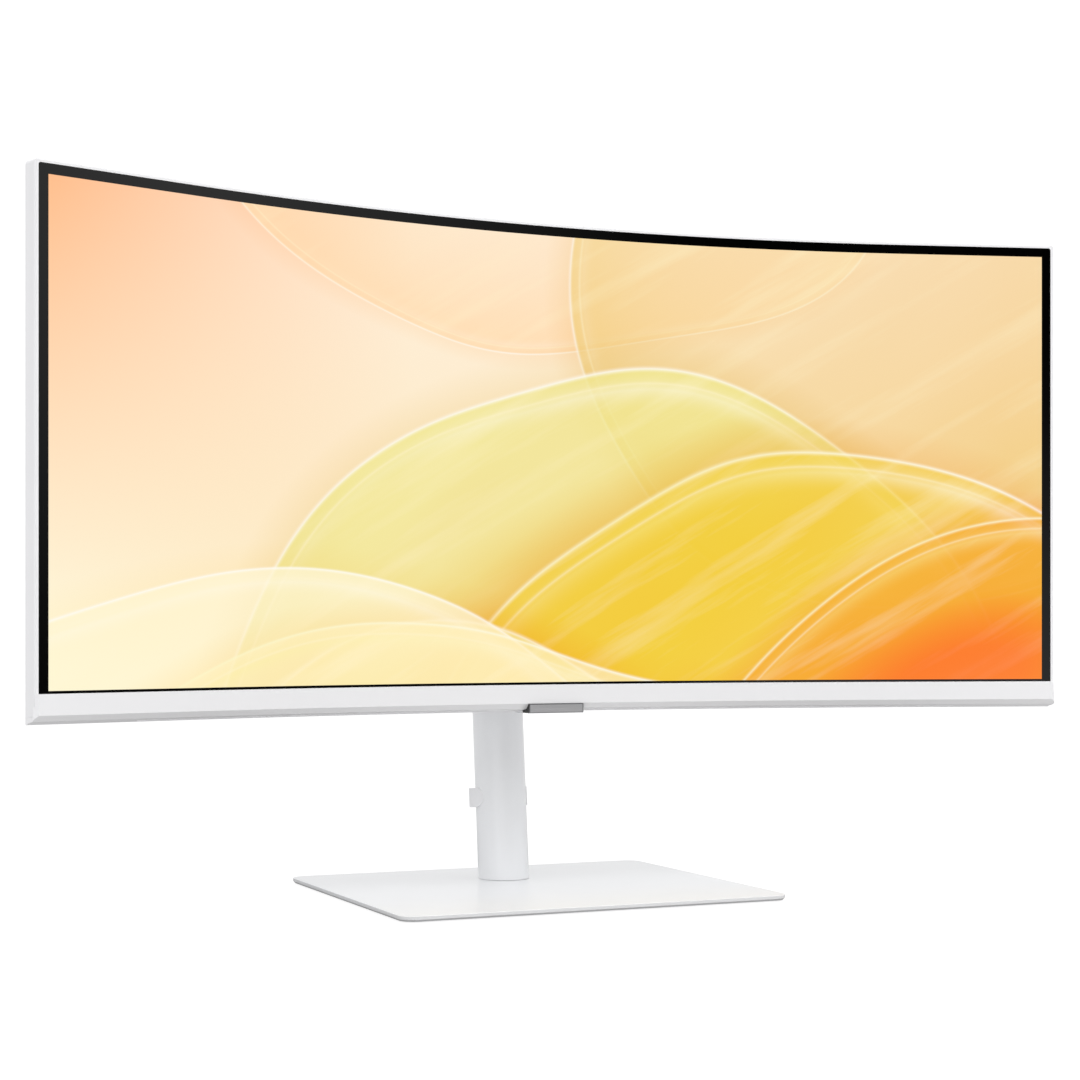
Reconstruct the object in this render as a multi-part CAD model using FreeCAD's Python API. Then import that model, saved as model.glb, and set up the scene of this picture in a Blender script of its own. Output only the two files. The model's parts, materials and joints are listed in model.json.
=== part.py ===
import math
import os

import FreeCAD
import Part

# Curved ultrawide desk monitor on a round height-adjustable column and a flat plate base.
# Millimetres, +Z up, viewer at -Y, +X to the viewer's right.
# Origin: centre of the base's footprint, on the desk.
# Heights on the leaning column are measured along its own axis.

V = FreeCAD.Vector
UP = V(0, 0, 1)
BACK = V(0, 1, 0)
RIGHT = V(1, 0, 0)
OVER = 1.0                   # cutting tools run past the faces they cut by this
FAR = 600.0                  # reaches past the whole object
NEAR = 0.1                   # tells which edges lie on a wanted face

# ---- screen -----------------------------------------------------------------
SCREEN_R = 1000.0            # radius of the curved middle of the screen
ARC_HALF = 285.0             # half length of that middle; beyond it the ends run straight
ACTIVE_W = 797.2             # lit picture, measured along the curve
ACTIVE_H = 333.7
SCREEN_Y = -42.4             # picture surface at the middle of the screen
SCREEN_Z = 328.5             # picture centre above the desk
BORDER_SIDE = 7.1            # black border between the picture and the rim
BORDER_TOP = 6.9
CELL_HALF = ACTIVE_W / 2 + BORDER_SIDE
CELL_TOP = SCREEN_Z + ACTIVE_H / 2 + BORDER_TOP
CELL_LOW = 152.5
CELL_CORNER_R = 1.6
CELL_DEPTHS = (0.0, 1.4)     # front and rear face of each layer behind the glass
SHEET_DEPTHS = (1.5, 2.1)
GUIDE_DEPTHS = (2.2, 5.0)
REFLECTOR_DEPTHS = (5.1, 5.4)
SHEET_INSET = 2.5
GUIDE_LOW = CELL_LOW + 5.5
CHASSIS_BACK = 6.5           # rear face of the panel's steel tray
CHASSIS_WALL = 1.0
CHASSIS_GAP = 1.5            # the tray's rim stops this far behind the glass
LED_HALF = ACTIVE_W / 2 - 4
LED_COUNT = 72
LED_W = 4.0
LED_H = 1.0
LED_DEPTHS = (2.4, 4.8)
LED_BAR_LOW = CELL_LOW + 2.6
SOURCE_DEPTHS = (6.6, 7.8)   # two thin boards on the back of the tray
SOURCE_LOW, SOURCE_HIGH = 156.0, 166.0
SOURCE_STARTS = (-320, 150)
SOURCE_LONG = 170.0

# ---- housing ----------------------------------------------------------------
MOUTH = 0.1                  # assembly gap around inset pieces
RIM_W = 2.5
RIM_PROUD = 0.6              # rim stands this far in front of the glass
RIM_BEVEL = 1.0
HOUSE_HALF = CELL_HALF + MOUTH + RIM_W
HOUSE_TOP = CELL_TOP + MOUTH + RIM_W
HOUSE_LOW = 139.2
SEAM_DEPTH = 8.0             # front frame meets the rear cover here
EDGE_DEPTH = 14.4            # housing thickness at its edges
EDGE_BEVEL = 1.5
EDGE_FOOT = (2.0, 0.4)       # bevel along the lower rear edge: depth, then rise
WALL = 2.4
FRAME_LOW = 145.0            # the chin wraps under the front frame up to here
FRAME_LEDGE = 1.6            # the frame's lower ledge lies this deep, behind the chin's tongue
FRAME_FOOT = CELL_LOW - 0.5
SEAM_LOW = 140.8
CORNER_R = 3.0
REAR_Y = 20.0                # flat back of the housing
HUMP_PLAN = ((340.0, -97.0), (174.0, REAR_Y - 6), (154.0, REAR_Y))    # (half width, y)
HUMP_SIDE = ((-110.0, 500.0), (-34.0, 488.0), (REAR_Y - 14, 455.0), (REAR_Y, 428.0))    # (y, z)
HUMP_LOW = HOUSE_LOW + 1
HUMP_TOE = (3.0, 6.0)        # bevel along the hump's lower rear edge
HUMP_R = 4.0
VENT_PITCH = 8.0
VENT_STEPS = 15              # slots either side of the middle one
VENT_W = 3.0
VENT_H = 9.0
VENT_ROWS = (457.0, 470.0)
GRILLE_COUNT = 14            # speaker slots on each side, facing down
GRILLE_START = 190.0
GRILLE_PITCH = 5.2
GRILLE_W = 2.4
GRILLE_DEPTHS = (14.0, 21.0)

# ---- chin and badge ---------------------------------------------------------
CHIN_TOP = 160.0
CHIN_FACE_LOW = 146.05
CHIN_BEVEL_LOW = 142.2
CHIN_PROUD = 2.5
CHIN_HALF = HOUSE_HALF + 0.9
CHIN_END_BEVEL = 2.7
TONGUE_TOP = CELL_LOW - 0.7
TONGUE_DEPTH = 1.5
BADGE_HALF = 22.1
BADGE_TOP = 145.8
BADGE_LOW = 138.9
BADGE_PROUD = 1.7
BADGE_SKIN = 0.4

# ---- inside the back --------------------------------------------------------
PLATE_Y = -32.0              # rear face of the flat board chassis
PLATE_T = 1.0
PLATE_HALF = 165.0
PLATE_LOW, PLATE_HIGH = 208.0, 440.0
FOOT_HALF = 6.0              # square feet between the plate and the tray
FOOT_X = 158.0
FOOT_ROWS = (216.0, 432.0)
BOARD_BACK = -20.6           # rear face of both circuit boards
BOARD_T = 1.6
BOARD_OUTLINE = ((4, 229), (152, 229), (152, 402), (66, 402), (66, 256), (4, 256))
MAIN_CHIPS = ((-128, -100, 300, 328, 2.2), (-92, -78, 306, 320, 1.4), (-140, -118, 262, 274, 1.4),
              (-146, -96, 390, 396, 5.5))                             # x0, x1, z0, z1, height
SINK_X, SINK_Z = (-132.0, -96.0), (296.0, 332.0)
SINK_LOW = 2.2               # the sink sits on the large chip
SINK_BASE = 2.0
SINK_HIGH = 12.0
FIN_PITCH = 4.0
FIN_T = 1.4
FIN_COUNT = 9
POWER_CANS = ((88, 276, 9, 24), (110, 276, 9, 24), (136, 300, 5, 16), (136, 316, 5, 16),
              (136, 366, 5, 16))                                      # x, z, r, height
CORE_X, CORE_Z, CORE_H = (84.0, 124.0), (300.0, 336.0), 18.0
WINDING_X, WINDING_Z, WINDING_H = (88.0, 120.0), (306.0, 330.0), (3.0, 21.0)
TIMING_BOX = (-58.0, 58.0, -35.8, -34.2, 160.0, 192.0)
TIMING_CHIPS = ((-10.0, 10.0, 166.0, 186.0, 1.2), (-50.0, -20.0, 180.0, 186.0, 2.6))
SPEAKER_S = 224.0
SPEAKER_HALF = 40.0
SPEAKER_DEPTHS = (8.2, 22.0)
SPEAKER_LOW, SPEAKER_HIGH = 150.0, 184.0
COVER_SCREW_XZ = [(x, z) for x in (-130, 130) for z in (160, 415)]
COVER_SCREW = (3.5, 1.2, 1.6, 14.0)      # head radius, head height, shank radius, length
SCREW_SINK = 1.4             # cover screws sit in pockets this deep
SCREW_PLAY = 0.2
STANDOFF_R = 4.0
STANDOFF_BORE = 1.65
STANDOFF_BORE_DEEP = 18.0
STANDOFF_FRONT = -60.0
CROSS_REACH = 0.6            # cross recess of the screws, as a share of the head's radius
CROSS_HALF = 0.4

# ---- stand mount on the back ------------------------------------------------
VESA = 100.0
VESA_HOLE_R = 2.0
VESA_BUSH_R = 3.3
VESA_CLEAR_R = 3.5
BRACKET_BACK = REAR_Y - 5.4
BRACKET_T = 3.0
BRACKET_HALF = 60.0
BRACKET_LOW, BRACKET_HIGH = 257.0, 400.0
BRACKET_FOOT_X = 54.0
BRACKET_FOOT_Z = (270.0, 387.0)
BRACKET_SCREW_XZ = [(x, z) for x in (-53, 53) for z in (276, 381)]
BRACKET_SCREW = (3.0, 2.0, 1.5, 5.5)
BRACKET_NOTCH = (12.5, 285.0)            # opening for the button: half width, top
DISC_R = 50.0
DISC_BACK = REAR_Y - 0.4
DISC_PLAY = 0.4
DISC_TRIM_T = 2.0
DISC_TRIM_BEVEL = 0.8
EAR_WINDOW = (19.0, 17.0)                # opening in the trim around the ears, half sizes
EAR_ROOT = 16.0
BUTTON_HALF = 11.0
BUTTON_LOW, BUTTON_HIGH = 259.0, 268.0
BUTTON_PLAY = 0.2
BUTTON_DEEP = 11.0
BUTTON_PROUD = 2.0
BUTTON_R = 0.8
LATCH_HALF = 6.0
LATCH_Y = (REAR_Y - 5.3, REAR_Y - 2.7)
LATCH_TOP = 282.0
LATCH_SLOT_HALF = 7.0
LATCH_SLOT_LOW = 270.0

# ---- connector bay ----------------------------------------------------------
BAY_HALF = 142.0
BAY_FRONT = -21.0
BAY_ROOF = 225.0
BAY_FLOOR = 205.0
BAY_FALL = 40.0              # the floor slopes down by this on its way out
BAY_MOUTH = REAR_Y + 5
PANEL_X = (-BAY_HALF + 2.2, -4.2)        # steel plate around the connectors
PANEL_Y = (BOARD_BACK + 0.05, -6.2)
PANEL_T = 1.0
PANEL_LIFT = 0.4
PANEL_PLAY = 0.2
PORT_MOUTH = 223.8
PORT_GAP = 4.0
PORT_LIFT = 0.2              # connectors stand this far off the board
PORT_SIZES = {"lan_port": [(16.0, 13.5, 21.0)],
              "usb_ports": [(13.2, 5.8, 17.0), (13.2, 5.8, 17.0), (9.0, 3.4, 9.0), (9.0, 3.4, 9.0)],
              "video_ports": [(17.0, 5.2, 13.0), (15.0, 5.6, 12.0)],
              "audio_jack": [(7.0, 6.4, 12.0)]}                       # width, thickness, height
SHELL_T = 0.5
SHELL_END = 2.0
TONGUE_T = 0.7
TONGUE_INSET = 1.8
LAN_WALL = (2.0, 4.0, 1.5, 4.0)          # sides, front, back and end of its hollow
LAN_KEY = (5.0, 1.5, 8.0)                # groove for the plug's catch: inset, front, end
JACK_COLLAR = (3.0, 1.8, 1.4)            # outer radius, bore, height
JACK_DEEP = 10.0
INLET_X = (58.0, 88.0)
INLET_BACK = 2.6
INLET_TALL = 24.0
INLET_DEEP = 17.0
INLET_WALL = (2.8, 3.3)
INLET_PLAY = 0.2
BLADE_HALF = (1.0, 2.0)
BLADE_LOW = 3.0
BLADE_PLACES = ((-7.0, -3.0), (7.0, -3.0), (0.0, 3.0))
LOCK_X, LOCK_Z = 118.0, 240.0
LOCK_SLOT = (3.5, 1.5)                   # half sizes
LOCK_PLATE = (8.0, 5.0, 1.5)             # half width, half height, thickness
LOCK_PLAY = 0.2

# ---- joystick ---------------------------------------------------------------
JOG_X = -5.0
JOG_Y = 9.0
JOG_PIVOT_Z = 151.0
JOG_LOW = 137.0
JOG_R = 5.6
JOG_PLAY = 2.2               # room around the knob for its full tilt both ways
JOG_EDGE_R = 2.6
KNOB_TOP = HOUSE_LOW + 2
CUP_R = 5.4
CUP_BORE = 4.6
CUP_LOW, CUP_HIGH = -2.5, 3.0            # from the pivot
CUP_LID = 1.0
GIMBAL_R = (3.2, 4.2)
GIMBAL_HALF = 1.0
JOG_PIN_R = 0.5
JOG_PIN_BORE = 0.6
GIMBAL_PIN_REACH = 5.1
BALL_R = 2.4
BALL_PIN_REACH = 3.9
STEM_R = 1.4
STEM_LOW = 5.0
SLEEVE_R = (1.45, 2.6)
SLEEVE_TOP = JOG_PIVOT_Z - 3.2
JOG_BOARD = (14.0, 16.0, 2.0, 1.6)       # half width, reach forward, reach back, thickness

# ---- base -------------------------------------------------------------------
BASE_W = 305.0
BASE_D = 261.0
BASE_LOW = 1.0
BASE_TOP = 5.0
BASE_CORNER_R = 12.0
BASE_TOP_BEVEL = 0.4
BASE_LOW_BEVEL = 1.5
PAD_HALF = (20.0, 6.0)
PAD_R = 5.5
PAD_X = (-118, 0, 118)
PAD_Y = (-112, 112)
BOSS_TOP = 9.0
RECESS_R = 13.5              # pocket under the boss for the thumb screw
RECESS_TOP = 6.0
POST_R = 9.0
POST_TOP = 34.5
POST_BORE = 4.05
POST_BORE_TOP = 28.0
POST_FLANGE_R = 16.5
POST_FLANGE_T = 3.0
POST_PIN_X = 11.0            # two keying pins either side of the post
POST_PIN_R = 1.5
POST_PIN_LOW = 6.5
WASHERS = ((16.0, 12.0, 12.95), (14.0, 28.05, 29.0))                  # r, z0, z1
NUT_ACROSS = 24.0
NUT_Z = (29.0, 34.0)
SCREW_HEAD_R = 10.5
SCREW_HEAD_Z = (3.9, 5.95)
SCREW_SHANK_R = 4.0
SCREW_TOP = 26.0
SCREW_HOLE_R = 4.4
KNUCKLE_HALF = (3.5, 1.6)
KNUCKLE_LOW = 1.6
BAIL_Z = 2.9
BAIL_R = 8.0
BAIL_WIRE_R = 0.7
BAIL_BORE = 0.75

# ---- column -----------------------------------------------------------------
COLUMN_Y = 54.5              # the column's foot; the swivel turns about this point
LEAN = 5.5                   # the column leans back by this many degrees
RUN_GAP = 0.05               # radial clearance of running fits
TUBE_R = 20.0
TUBE_BORE = 18.0
TUBE_LOW = 5.2
TUBE_TOP = 197.0
COLLAR_SLEEVE = 14.0
COLLAR_LIP = 1.6
COLLAR_INSET = 0.3
BUSH_Z = (13.0, 28.0)        # bearing block at the foot
SEAT_Z = (37.0, 40.0)
SPRING_R = (6.9, 9.0)        # gas spring's tube: bore, then outside
SPRING_TOP = 190.0
SPRING_BASE = 4.0
SPRING_NECK = 10.0
MAST_R = 16.8
MAST_BORE = 14.8
MAST_LOW = 147.0
MAST_TOP = 338.0
MAST_BUSH = 18.0
ROD_R = 3.0
ROD_Z = (158.0, 315.0)
ROD_PLATE = 5.0
PISTON_R = 6.85
PISTON_Z = (154.0, 162.0)

# ---- tilt hinge -------------------------------------------------------------
TILT_Y = 50.0                # tilt axis, parallel to X
TILT_Z = SCREEN_Z
SHAFT_R = 5.0
SHAFT_HALF = 24.0
LUG_HALF = 11.4
EAR_IN, EAR_OUT = 12.0, 18.0
EAR_R = 9.0
HEAD_R = 19.0
HEAD_LOW, HEAD_TOP = 307.0, 346.0
HEAD_LIFT = 1.0              # the casting starts this far above its cover's rim
CAP_R = 21.0
CAP_T = 2.2
CAP_EDGE_R = 1.8
CAP_GAP = 0.1
LUG_PLAY = 0.3
HINGE_WASHER = (8.5, 0.5)    # radius, thickness
HINGE_GAP = 0.05
HINGE_NUT = (13.0, 5.0)      # across flats, thickness
NUT_GAP = 0.1

# ---- cable clip -------------------------------------------------------------
CLIP_LOW, CLIP_HIGH = 61.5, 76.5
CLIP_R = 23.0
CLIP_SHIFT = 5.5
CLIP_TIP_ANGLE = 24.0        # the clip's tips reach this far round the front
CLIP_TIP_R = 7.0
LOOP_R = 12.0
LOOP_BORE = 9.5
LOOP_SHIFT = 33.0
LOOP_MOUTH_HALF = 4.0


# ---- shape helpers ----------------------------------------------------------
def box(x0, x1, y0, y1, z0, z1):
    return Part.makeBox(x1 - x0, y1 - y0, z1 - z0, V(x0, y0, z0))


def disc_z(x, y, r, z0, z1):
    return Part.makeCylinder(r, z1 - z0, V(x, y, z0), UP)


def disc_y(x, z, r, y0, y1):
    return Part.makeCylinder(r, y1 - y0, V(x, y0, z), BACK)


def disc_x(y, z, r, x0, x1):
    return Part.makeCylinder(r, x1 - x0, V(x0, y, z), RIGHT)


def ring_z(x, y, r_in, r_out, z0, z1):
    return disc_z(x, y, r_out, z0, z1).cut(disc_z(x, y, r_in, z0 - OVER, z1 + OVER))


def bore_x(y, z, r):
    return disc_x(y, z, r, -FAR, FAR)


def bore_y(x, z, r):
    """Hole through everything behind the screen's middle."""
    return disc_y(x, z, r, 0, FAR)


def column_disc(r, z0, z1):
    return disc_z(0, COLUMN_Y, r, z0, z1)


def column_ring(r_in, r_out, z0, z1):
    return ring_z(0, COLUMN_Y, r_in, r_out, z0, z1)


def polygon_face(corners):
    return Part.Face(Part.makePolygon(corners + corners[:1]))


def prism(corners, along):
    """Solid swept straight from a flat outline, always with its faces outward."""
    solid = polygon_face(corners).extrude(along)
    if solid.Volume < 0:
        solid.reverse()
    return solid


def fused(pieces):
    return pieces[0].multiFuse(pieces[1:]).removeSplitter()


def group(pieces):
    return Part.makeCompound(pieces)


def edges_at(shape, points, reach):
    """Edges whose middle lies within reach of one of the points."""
    return [e for e in shape.Edges
            if min((e.CenterOfMass - p).Length for p in points) < reach]


def edges_beyond(shape, direction, distance):
    """Edges whose middle lies further than distance along a direction."""
    return [e for e in shape.Edges if e.CenterOfMass.dot(direction) > distance]


def hexagon(across):
    corner = across / math.sqrt(3)
    turns = [math.radians(60 * k) for k in range(6)]
    return [(corner * math.cos(t), corner * math.sin(t)) for t in turns]


def leaned(shape):
    """Tips a shape that was drawn upright at the column's foot back to the column's lean."""
    return shape.rotate(V(0, COLUMN_Y, BASE_TOP), RIGHT, -LEAN)


def upright(y, z):
    """Where a point of the leaning column lies before it is tipped back."""
    turn = math.radians(LEAN)
    dy, dz = y - COLUMN_Y, z - BASE_TOP
    return (COLUMN_Y + dy * math.cos(turn) - dz * math.sin(turn),
            BASE_TOP + dy * math.sin(turn) + dz * math.cos(turn))


def pan_screw_y(x, z, size, head_y):
    """Screw pointing forward, the underside of its crossed head at head_y."""
    head_r, head_t, shank_r, length = size
    head = disc_y(x, z, head_r, head_y, head_y + head_t)
    shank = disc_y(x, z, shank_r, head_y - length, head_y)
    screw = fused([head, shank])
    long = head_r * CROSS_REACH
    for dx, dz in ((long, CROSS_HALF), (CROSS_HALF, long)):
        screw = screw.cut(box(x - dx, x + dx, head_y + head_t / 2, head_y + head_t + OVER, z - dz, z + dz))
    return screw


# ---- the screen's curve -----------------------------------------------------
def on_curve(s, depth, z):
    """Point at length s along the screen's face, moved back by depth."""
    turn = max(-ARC_HALF, min(ARC_HALF, s)) / SCREEN_R
    straight = s - turn * SCREEN_R
    x = (SCREEN_R + depth) * math.sin(turn) + straight * math.cos(turn)
    y = SCREEN_Y - SCREEN_R + (SCREEN_R + depth) * math.cos(turn) - straight * math.sin(turn)
    return V(x, y, z)


def curved(section, s0, s1):
    """Solid that carries a (depth, z) section along the screen's curve from s0 to s1."""
    stops = [s0] + [s for s in (-ARC_HALF, ARC_HALF) if s0 < s < s1] + [s1]
    pieces = []
    for a, b in zip(stops, stops[1:]):
        face = polygon_face([on_curve(b, depth, z) for depth, z in section])
        if abs(a + b) / 2 < ARC_HALF:
            turn = math.degrees((b - a) / SCREEN_R)
            piece = face.revolve(V(0, SCREEN_Y - SCREEN_R, 0), UP, turn)
        else:
            piece = face.extrude(on_curve(a, 0, 0) - on_curve(b, 0, 0))
        if piece.Volume < 0:
            piece.reverse()
        pieces.append(piece)
    return pieces[0] if len(pieces) == 1 else fused(pieces)


def curved_bar(s0, s1, depths, z0, z1):
    front, rear = depths
    return curved([(front, z0), (rear, z0), (rear, z1), (front, z1)], s0, s1)


def curved_slab(half, depths, z0, z1):
    return curved_bar(-half, half, depths, z0, z1)


def end_bevel(half, depth, size, side, back):
    """Wedge that bevels the vertical edge at (half, depth) of one end of the housing."""
    facing = -1 if back else 1
    outline = [(half - size - OVER, depth - facing * OVER), (half + OVER, depth - facing * OVER),
               (half + OVER, depth + facing * (size + OVER))]
    return prism([on_curve(side * s, d, 0) for s, d in outline], V(0, 0, FAR))


def end_bevelled(shape, half, depth, size, back=False):
    for side in (-1, 1):
        shape = shape.cut(end_bevel(half, depth, size, side, back))
    return shape


def top_corners(half, depth, z):
    return [on_curve(side * half, depth, z) for side in (-1, 1)]


def rounded_top(slab, half, depths, z, radius):
    """Rounds the two upper corners of a curved slab."""
    middle = sum(depths) / 2
    return slab.makeFillet(radius, edges_at(slab, top_corners(half, middle, z), OVER))


# ---- display: panel stack ---------------------------------------------------
def lcd_cell():
    slab = curved_slab(CELL_HALF, CELL_DEPTHS, CELL_LOW, CELL_TOP)
    return rounded_top(slab, CELL_HALF, CELL_DEPTHS, CELL_TOP, CELL_CORNER_R)


def optical_sheets():
    return curved_slab(CELL_HALF - SHEET_INSET, SHEET_DEPTHS, CELL_LOW + SHEET_INSET, CELL_TOP - SHEET_INSET)


def light_guide():
    return curved_slab(CELL_HALF - SHEET_INSET, GUIDE_DEPTHS, GUIDE_LOW, CELL_TOP - SHEET_INSET)


def reflector_sheet():
    return curved_slab(CELL_HALF - SHEET_INSET, REFLECTOR_DEPTHS, CELL_LOW + SHEET_INSET,
                       CELL_TOP - SHEET_INSET)


def back_chassis():
    outer, inner = CHASSIS_WALL, 2 * CHASSIS_WALL
    tray = curved_slab(CELL_HALF - outer, (CHASSIS_GAP, CHASSIS_BACK), CELL_LOW + outer, CELL_TOP - outer)
    hollow = curved_slab(CELL_HALF - inner, (CHASSIS_GAP - OVER, CHASSIS_BACK - CHASSIS_WALL),
                         CELL_LOW + inner, CELL_TOP - inner)
    return tray.cut(hollow)


def led_bar():
    strip_top = LED_BAR_LOW + LED_H
    strip = curved_slab(LED_HALF, GUIDE_DEPTHS, LED_BAR_LOW, strip_top)
    pitch = 2 * LED_HALF / LED_COUNT
    starts = [-LED_HALF + (k + 0.5) * pitch - LED_W / 2 for k in range(LED_COUNT)]
    return group([strip] + [curved_bar(s, s + LED_W, LED_DEPTHS, strip_top, strip_top + LED_H)
                            for s in starts])


def source_boards():
    return group([curved_bar(s, s + SOURCE_LONG, SOURCE_DEPTHS, SOURCE_LOW, SOURCE_HIGH)
                  for s in SOURCE_STARTS])


# ---- display: housing -------------------------------------------------------
def front_frame():
    front = -RIM_PROUD
    section = [(front, FRAME_FOOT), (FRAME_LEDGE, FRAME_FOOT), (FRAME_LEDGE, FRAME_LOW + MOUTH),
               (SEAM_DEPTH, FRAME_LOW + MOUTH), (SEAM_DEPTH, HOUSE_TOP), (front + RIM_BEVEL, HOUSE_TOP),
               (front, HOUSE_TOP - RIM_BEVEL)]
    frame = curved(section, -HOUSE_HALF, HOUSE_HALF)
    through = (front - OVER, SEAM_DEPTH + OVER)
    half, top = CELL_HALF + MOUTH, CELL_TOP + MOUTH
    opening = curved_slab(half, through, FRAME_FOOT, top)
    frame = frame.cut(rounded_top(opening, half, through, top, CELL_CORNER_R + MOUTH))
    frame = end_bevelled(frame, HOUSE_HALF, front, RIM_BEVEL)
    corners = top_corners(HOUSE_HALF, SEAM_DEPTH / 2, HOUSE_TOP)
    return frame.makeFillet(CORNER_R, edges_at(frame, corners, RIM_W / 2))


def chin():
    """White trim under the glass: face, bevel and a sloping underside that wraps the frame."""
    front = -CHIN_PROUD
    bevel_back = front + CHIN_FACE_LOW - CHIN_BEVEL_LOW
    back = -RIM_PROUD - MOUTH
    section = [(front, CHIN_TOP), (front, CHIN_FACE_LOW), (bevel_back, CHIN_BEVEL_LOW),
               (SEAM_DEPTH, SEAM_LOW), (SEAM_DEPTH, FRAME_LOW), (TONGUE_DEPTH, FRAME_LOW),
               (TONGUE_DEPTH, TONGUE_TOP), (back, TONGUE_TOP), (back, CHIN_TOP)]
    return end_bevelled(curved(section, -CHIN_HALF, CHIN_HALF), CHIN_HALF, front, CHIN_END_BEVEL)


def in_front_of(depth):
    """Everything in front of a surface that follows the screen."""
    return curved_slab(HOUSE_HALF + CORNER_R, (-FAR / 4, depth), 0, FAR)


def bulge(inset):
    """Raised middle of the back, drawn inside its outer faces by inset."""
    front = HUMP_PLAN[0][1]
    half_plan = [(x - inset, y if y == front else y - inset) for x, y in HUMP_PLAN]
    plan = [(-x, y) for x, y in half_plan] + half_plan[::-1]
    low, rear = HUMP_LOW + inset, REAR_Y - inset
    toe_in, toe_up = HUMP_TOE
    side = [(y if z > HUMP_SIDE[2][1] else y - inset, z - inset) for y, z in HUMP_SIDE]
    side += [(rear, low + toe_up), (rear - toe_in, low), (HUMP_SIDE[0][0], low)]
    body = prism([V(x, y, 0) for x, y in plan], V(0, 0, FAR))
    return body.common(prism([V(-FAR, y, z) for y, z in side], V(2 * FAR, 0, 0)))


def bay(grow):
    """Connector bay in the back of the housing: flat roof, sloping floor."""
    low = BAY_FLOOR - grow
    side = [(BAY_MOUTH, BAY_ROOF + grow), (BAY_FRONT - grow, BAY_ROOF + grow), (BAY_FRONT - grow, low),
            (BAY_MOUTH, low - BAY_FALL)]
    half = BAY_HALF + grow
    return prism([V(-half, y, z) for y, z in side], V(2 * half, 0, 0))


def vent_slots():
    """Slots through the sloping top of the bulge."""
    columns = [k * VENT_PITCH for k in range(-VENT_STEPS, VENT_STEPS + 1)]
    return group([box(x - VENT_W / 2, x + VENT_W / 2, SCREEN_Y, -SCREEN_Y, z, z + VENT_H)
                  for z in VENT_ROWS for x in columns])


def speaker_slots():
    places = [side * (GRILLE_START + GRILLE_PITCH * k) for side in (-1, 1) for k in range(GRILLE_COUNT)]
    return group([curved_bar(s - GRILLE_W / 2, s + GRILLE_W / 2, GRILLE_DEPTHS, HOUSE_LOW - 10, HOUSE_LOW + 7)
                  for s in places])


def cover_skin():
    """Thin outer band of the rear cover, before the bulge is added."""
    toe_in, toe_up = EDGE_FOOT
    section = [(SEAM_DEPTH, SEAM_LOW), (EDGE_DEPTH - toe_in, HOUSE_LOW + toe_up),
               (EDGE_DEPTH, HOUSE_LOW + toe_in), (EDGE_DEPTH, HOUSE_TOP - EDGE_BEVEL),
               (EDGE_DEPTH - EDGE_BEVEL, HOUSE_TOP), (SEAM_DEPTH, HOUSE_TOP)]
    skin = end_bevelled(curved(section, -HOUSE_HALF, HOUSE_HALF), HOUSE_HALF, EDGE_DEPTH, EDGE_BEVEL, True)
    corners = top_corners(HOUSE_HALF, (SEAM_DEPTH + EDGE_DEPTH - EDGE_BEVEL) / 2, HOUSE_TOP)
    return skin.makeFillet(CORNER_R, edges_at(skin, corners, EDGE_BEVEL / 2))


def cover_holes():
    holes = [bore_y(0, TILT_Z, DISC_R + DISC_PLAY)]
    holes += [bore_y(x, z, VESA_CLEAR_R) for x, z in vesa_points()]
    holes += [bore_y(x, z, COVER_SCREW[2] + SCREW_PLAY) for x, z in COVER_SCREW_XZ]
    holes += [disc_y(x, z, COVER_SCREW[0] + SCREW_PLAY, REAR_Y - SCREW_SINK, FAR) for x, z in COVER_SCREW_XZ]
    half = BUTTON_HALF + BUTTON_PLAY
    holes.append(box(-half, half, 0, FAR, BUTTON_LOW - BUTTON_PLAY, BUTTON_HIGH + BUTTON_PLAY))
    holes.append(disc_z(JOG_X, JOG_Y, JOG_R + JOG_PLAY, 0, HOUSE_LOW + 10))
    panel_y0, panel_y1 = PANEL_Y
    above_roof = (BAY_ROOF - OVER, BAY_ROOF + 2 * WALL)
    x0, x1 = PANEL_X
    holes.append(box(x0 - PANEL_PLAY, x1 + PANEL_PLAY, BAY_FRONT, panel_y1 + PANEL_PLAY, *above_roof))
    x0, x1 = INLET_X
    holes.append(box(x0 - INLET_PLAY, x1 + INLET_PLAY, BAY_FRONT, INLET_BACK + INLET_PLAY, *above_roof))
    dx, dz = (half + LOCK_PLAY for half in LOCK_SLOT)
    holes.append(box(LOCK_X - dx, LOCK_X + dx, 0, FAR, LOCK_Z - dz, LOCK_Z + dz))
    return group(holes)


def rear_cover():
    hump = bulge(0)
    ridges = edges_beyond(hump, BACK, 0)
    hump = hump.makeFillet(HUMP_R, ridges).cut(in_front_of(SEAM_DEPTH))
    inner = curved_slab(HOUSE_HALF - WALL, (SEAM_DEPTH - OVER, EDGE_DEPTH - WALL), FRAME_LOW,
                        HOUSE_TOP - WALL)
    inner = inner.fuse(bulge(WALL).cut(in_front_of(SEAM_DEPTH - OVER))).cut(bay(WALL))
    cover = cover_skin().fuse(hump).cut(inner).cut(bay(0))
    return cover.cut(cover_holes()).cut(vent_slots()).cut(speaker_slots())


def cover_screws():
    return group([pan_screw_y(x, z, COVER_SCREW, REAR_Y - SCREW_SINK) for x, z in COVER_SCREW_XZ])


def badge_block():
    front = -CHIN_PROUD - BADGE_PROUD + BADGE_SKIN
    top_back = -CHIN_PROUD + CHIN_FACE_LOW - BADGE_TOP
    bevel_back = -CHIN_PROUD + CHIN_FACE_LOW - CHIN_BEVEL_LOW
    section = [(front, BADGE_TOP), (top_back, BADGE_TOP), (bevel_back, CHIN_BEVEL_LOW),
               (SEAM_DEPTH, SEAM_LOW), (SEAM_DEPTH, BADGE_LOW), (front, BADGE_LOW)]
    return curved(section, -BADGE_HALF, BADGE_HALF)


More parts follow.
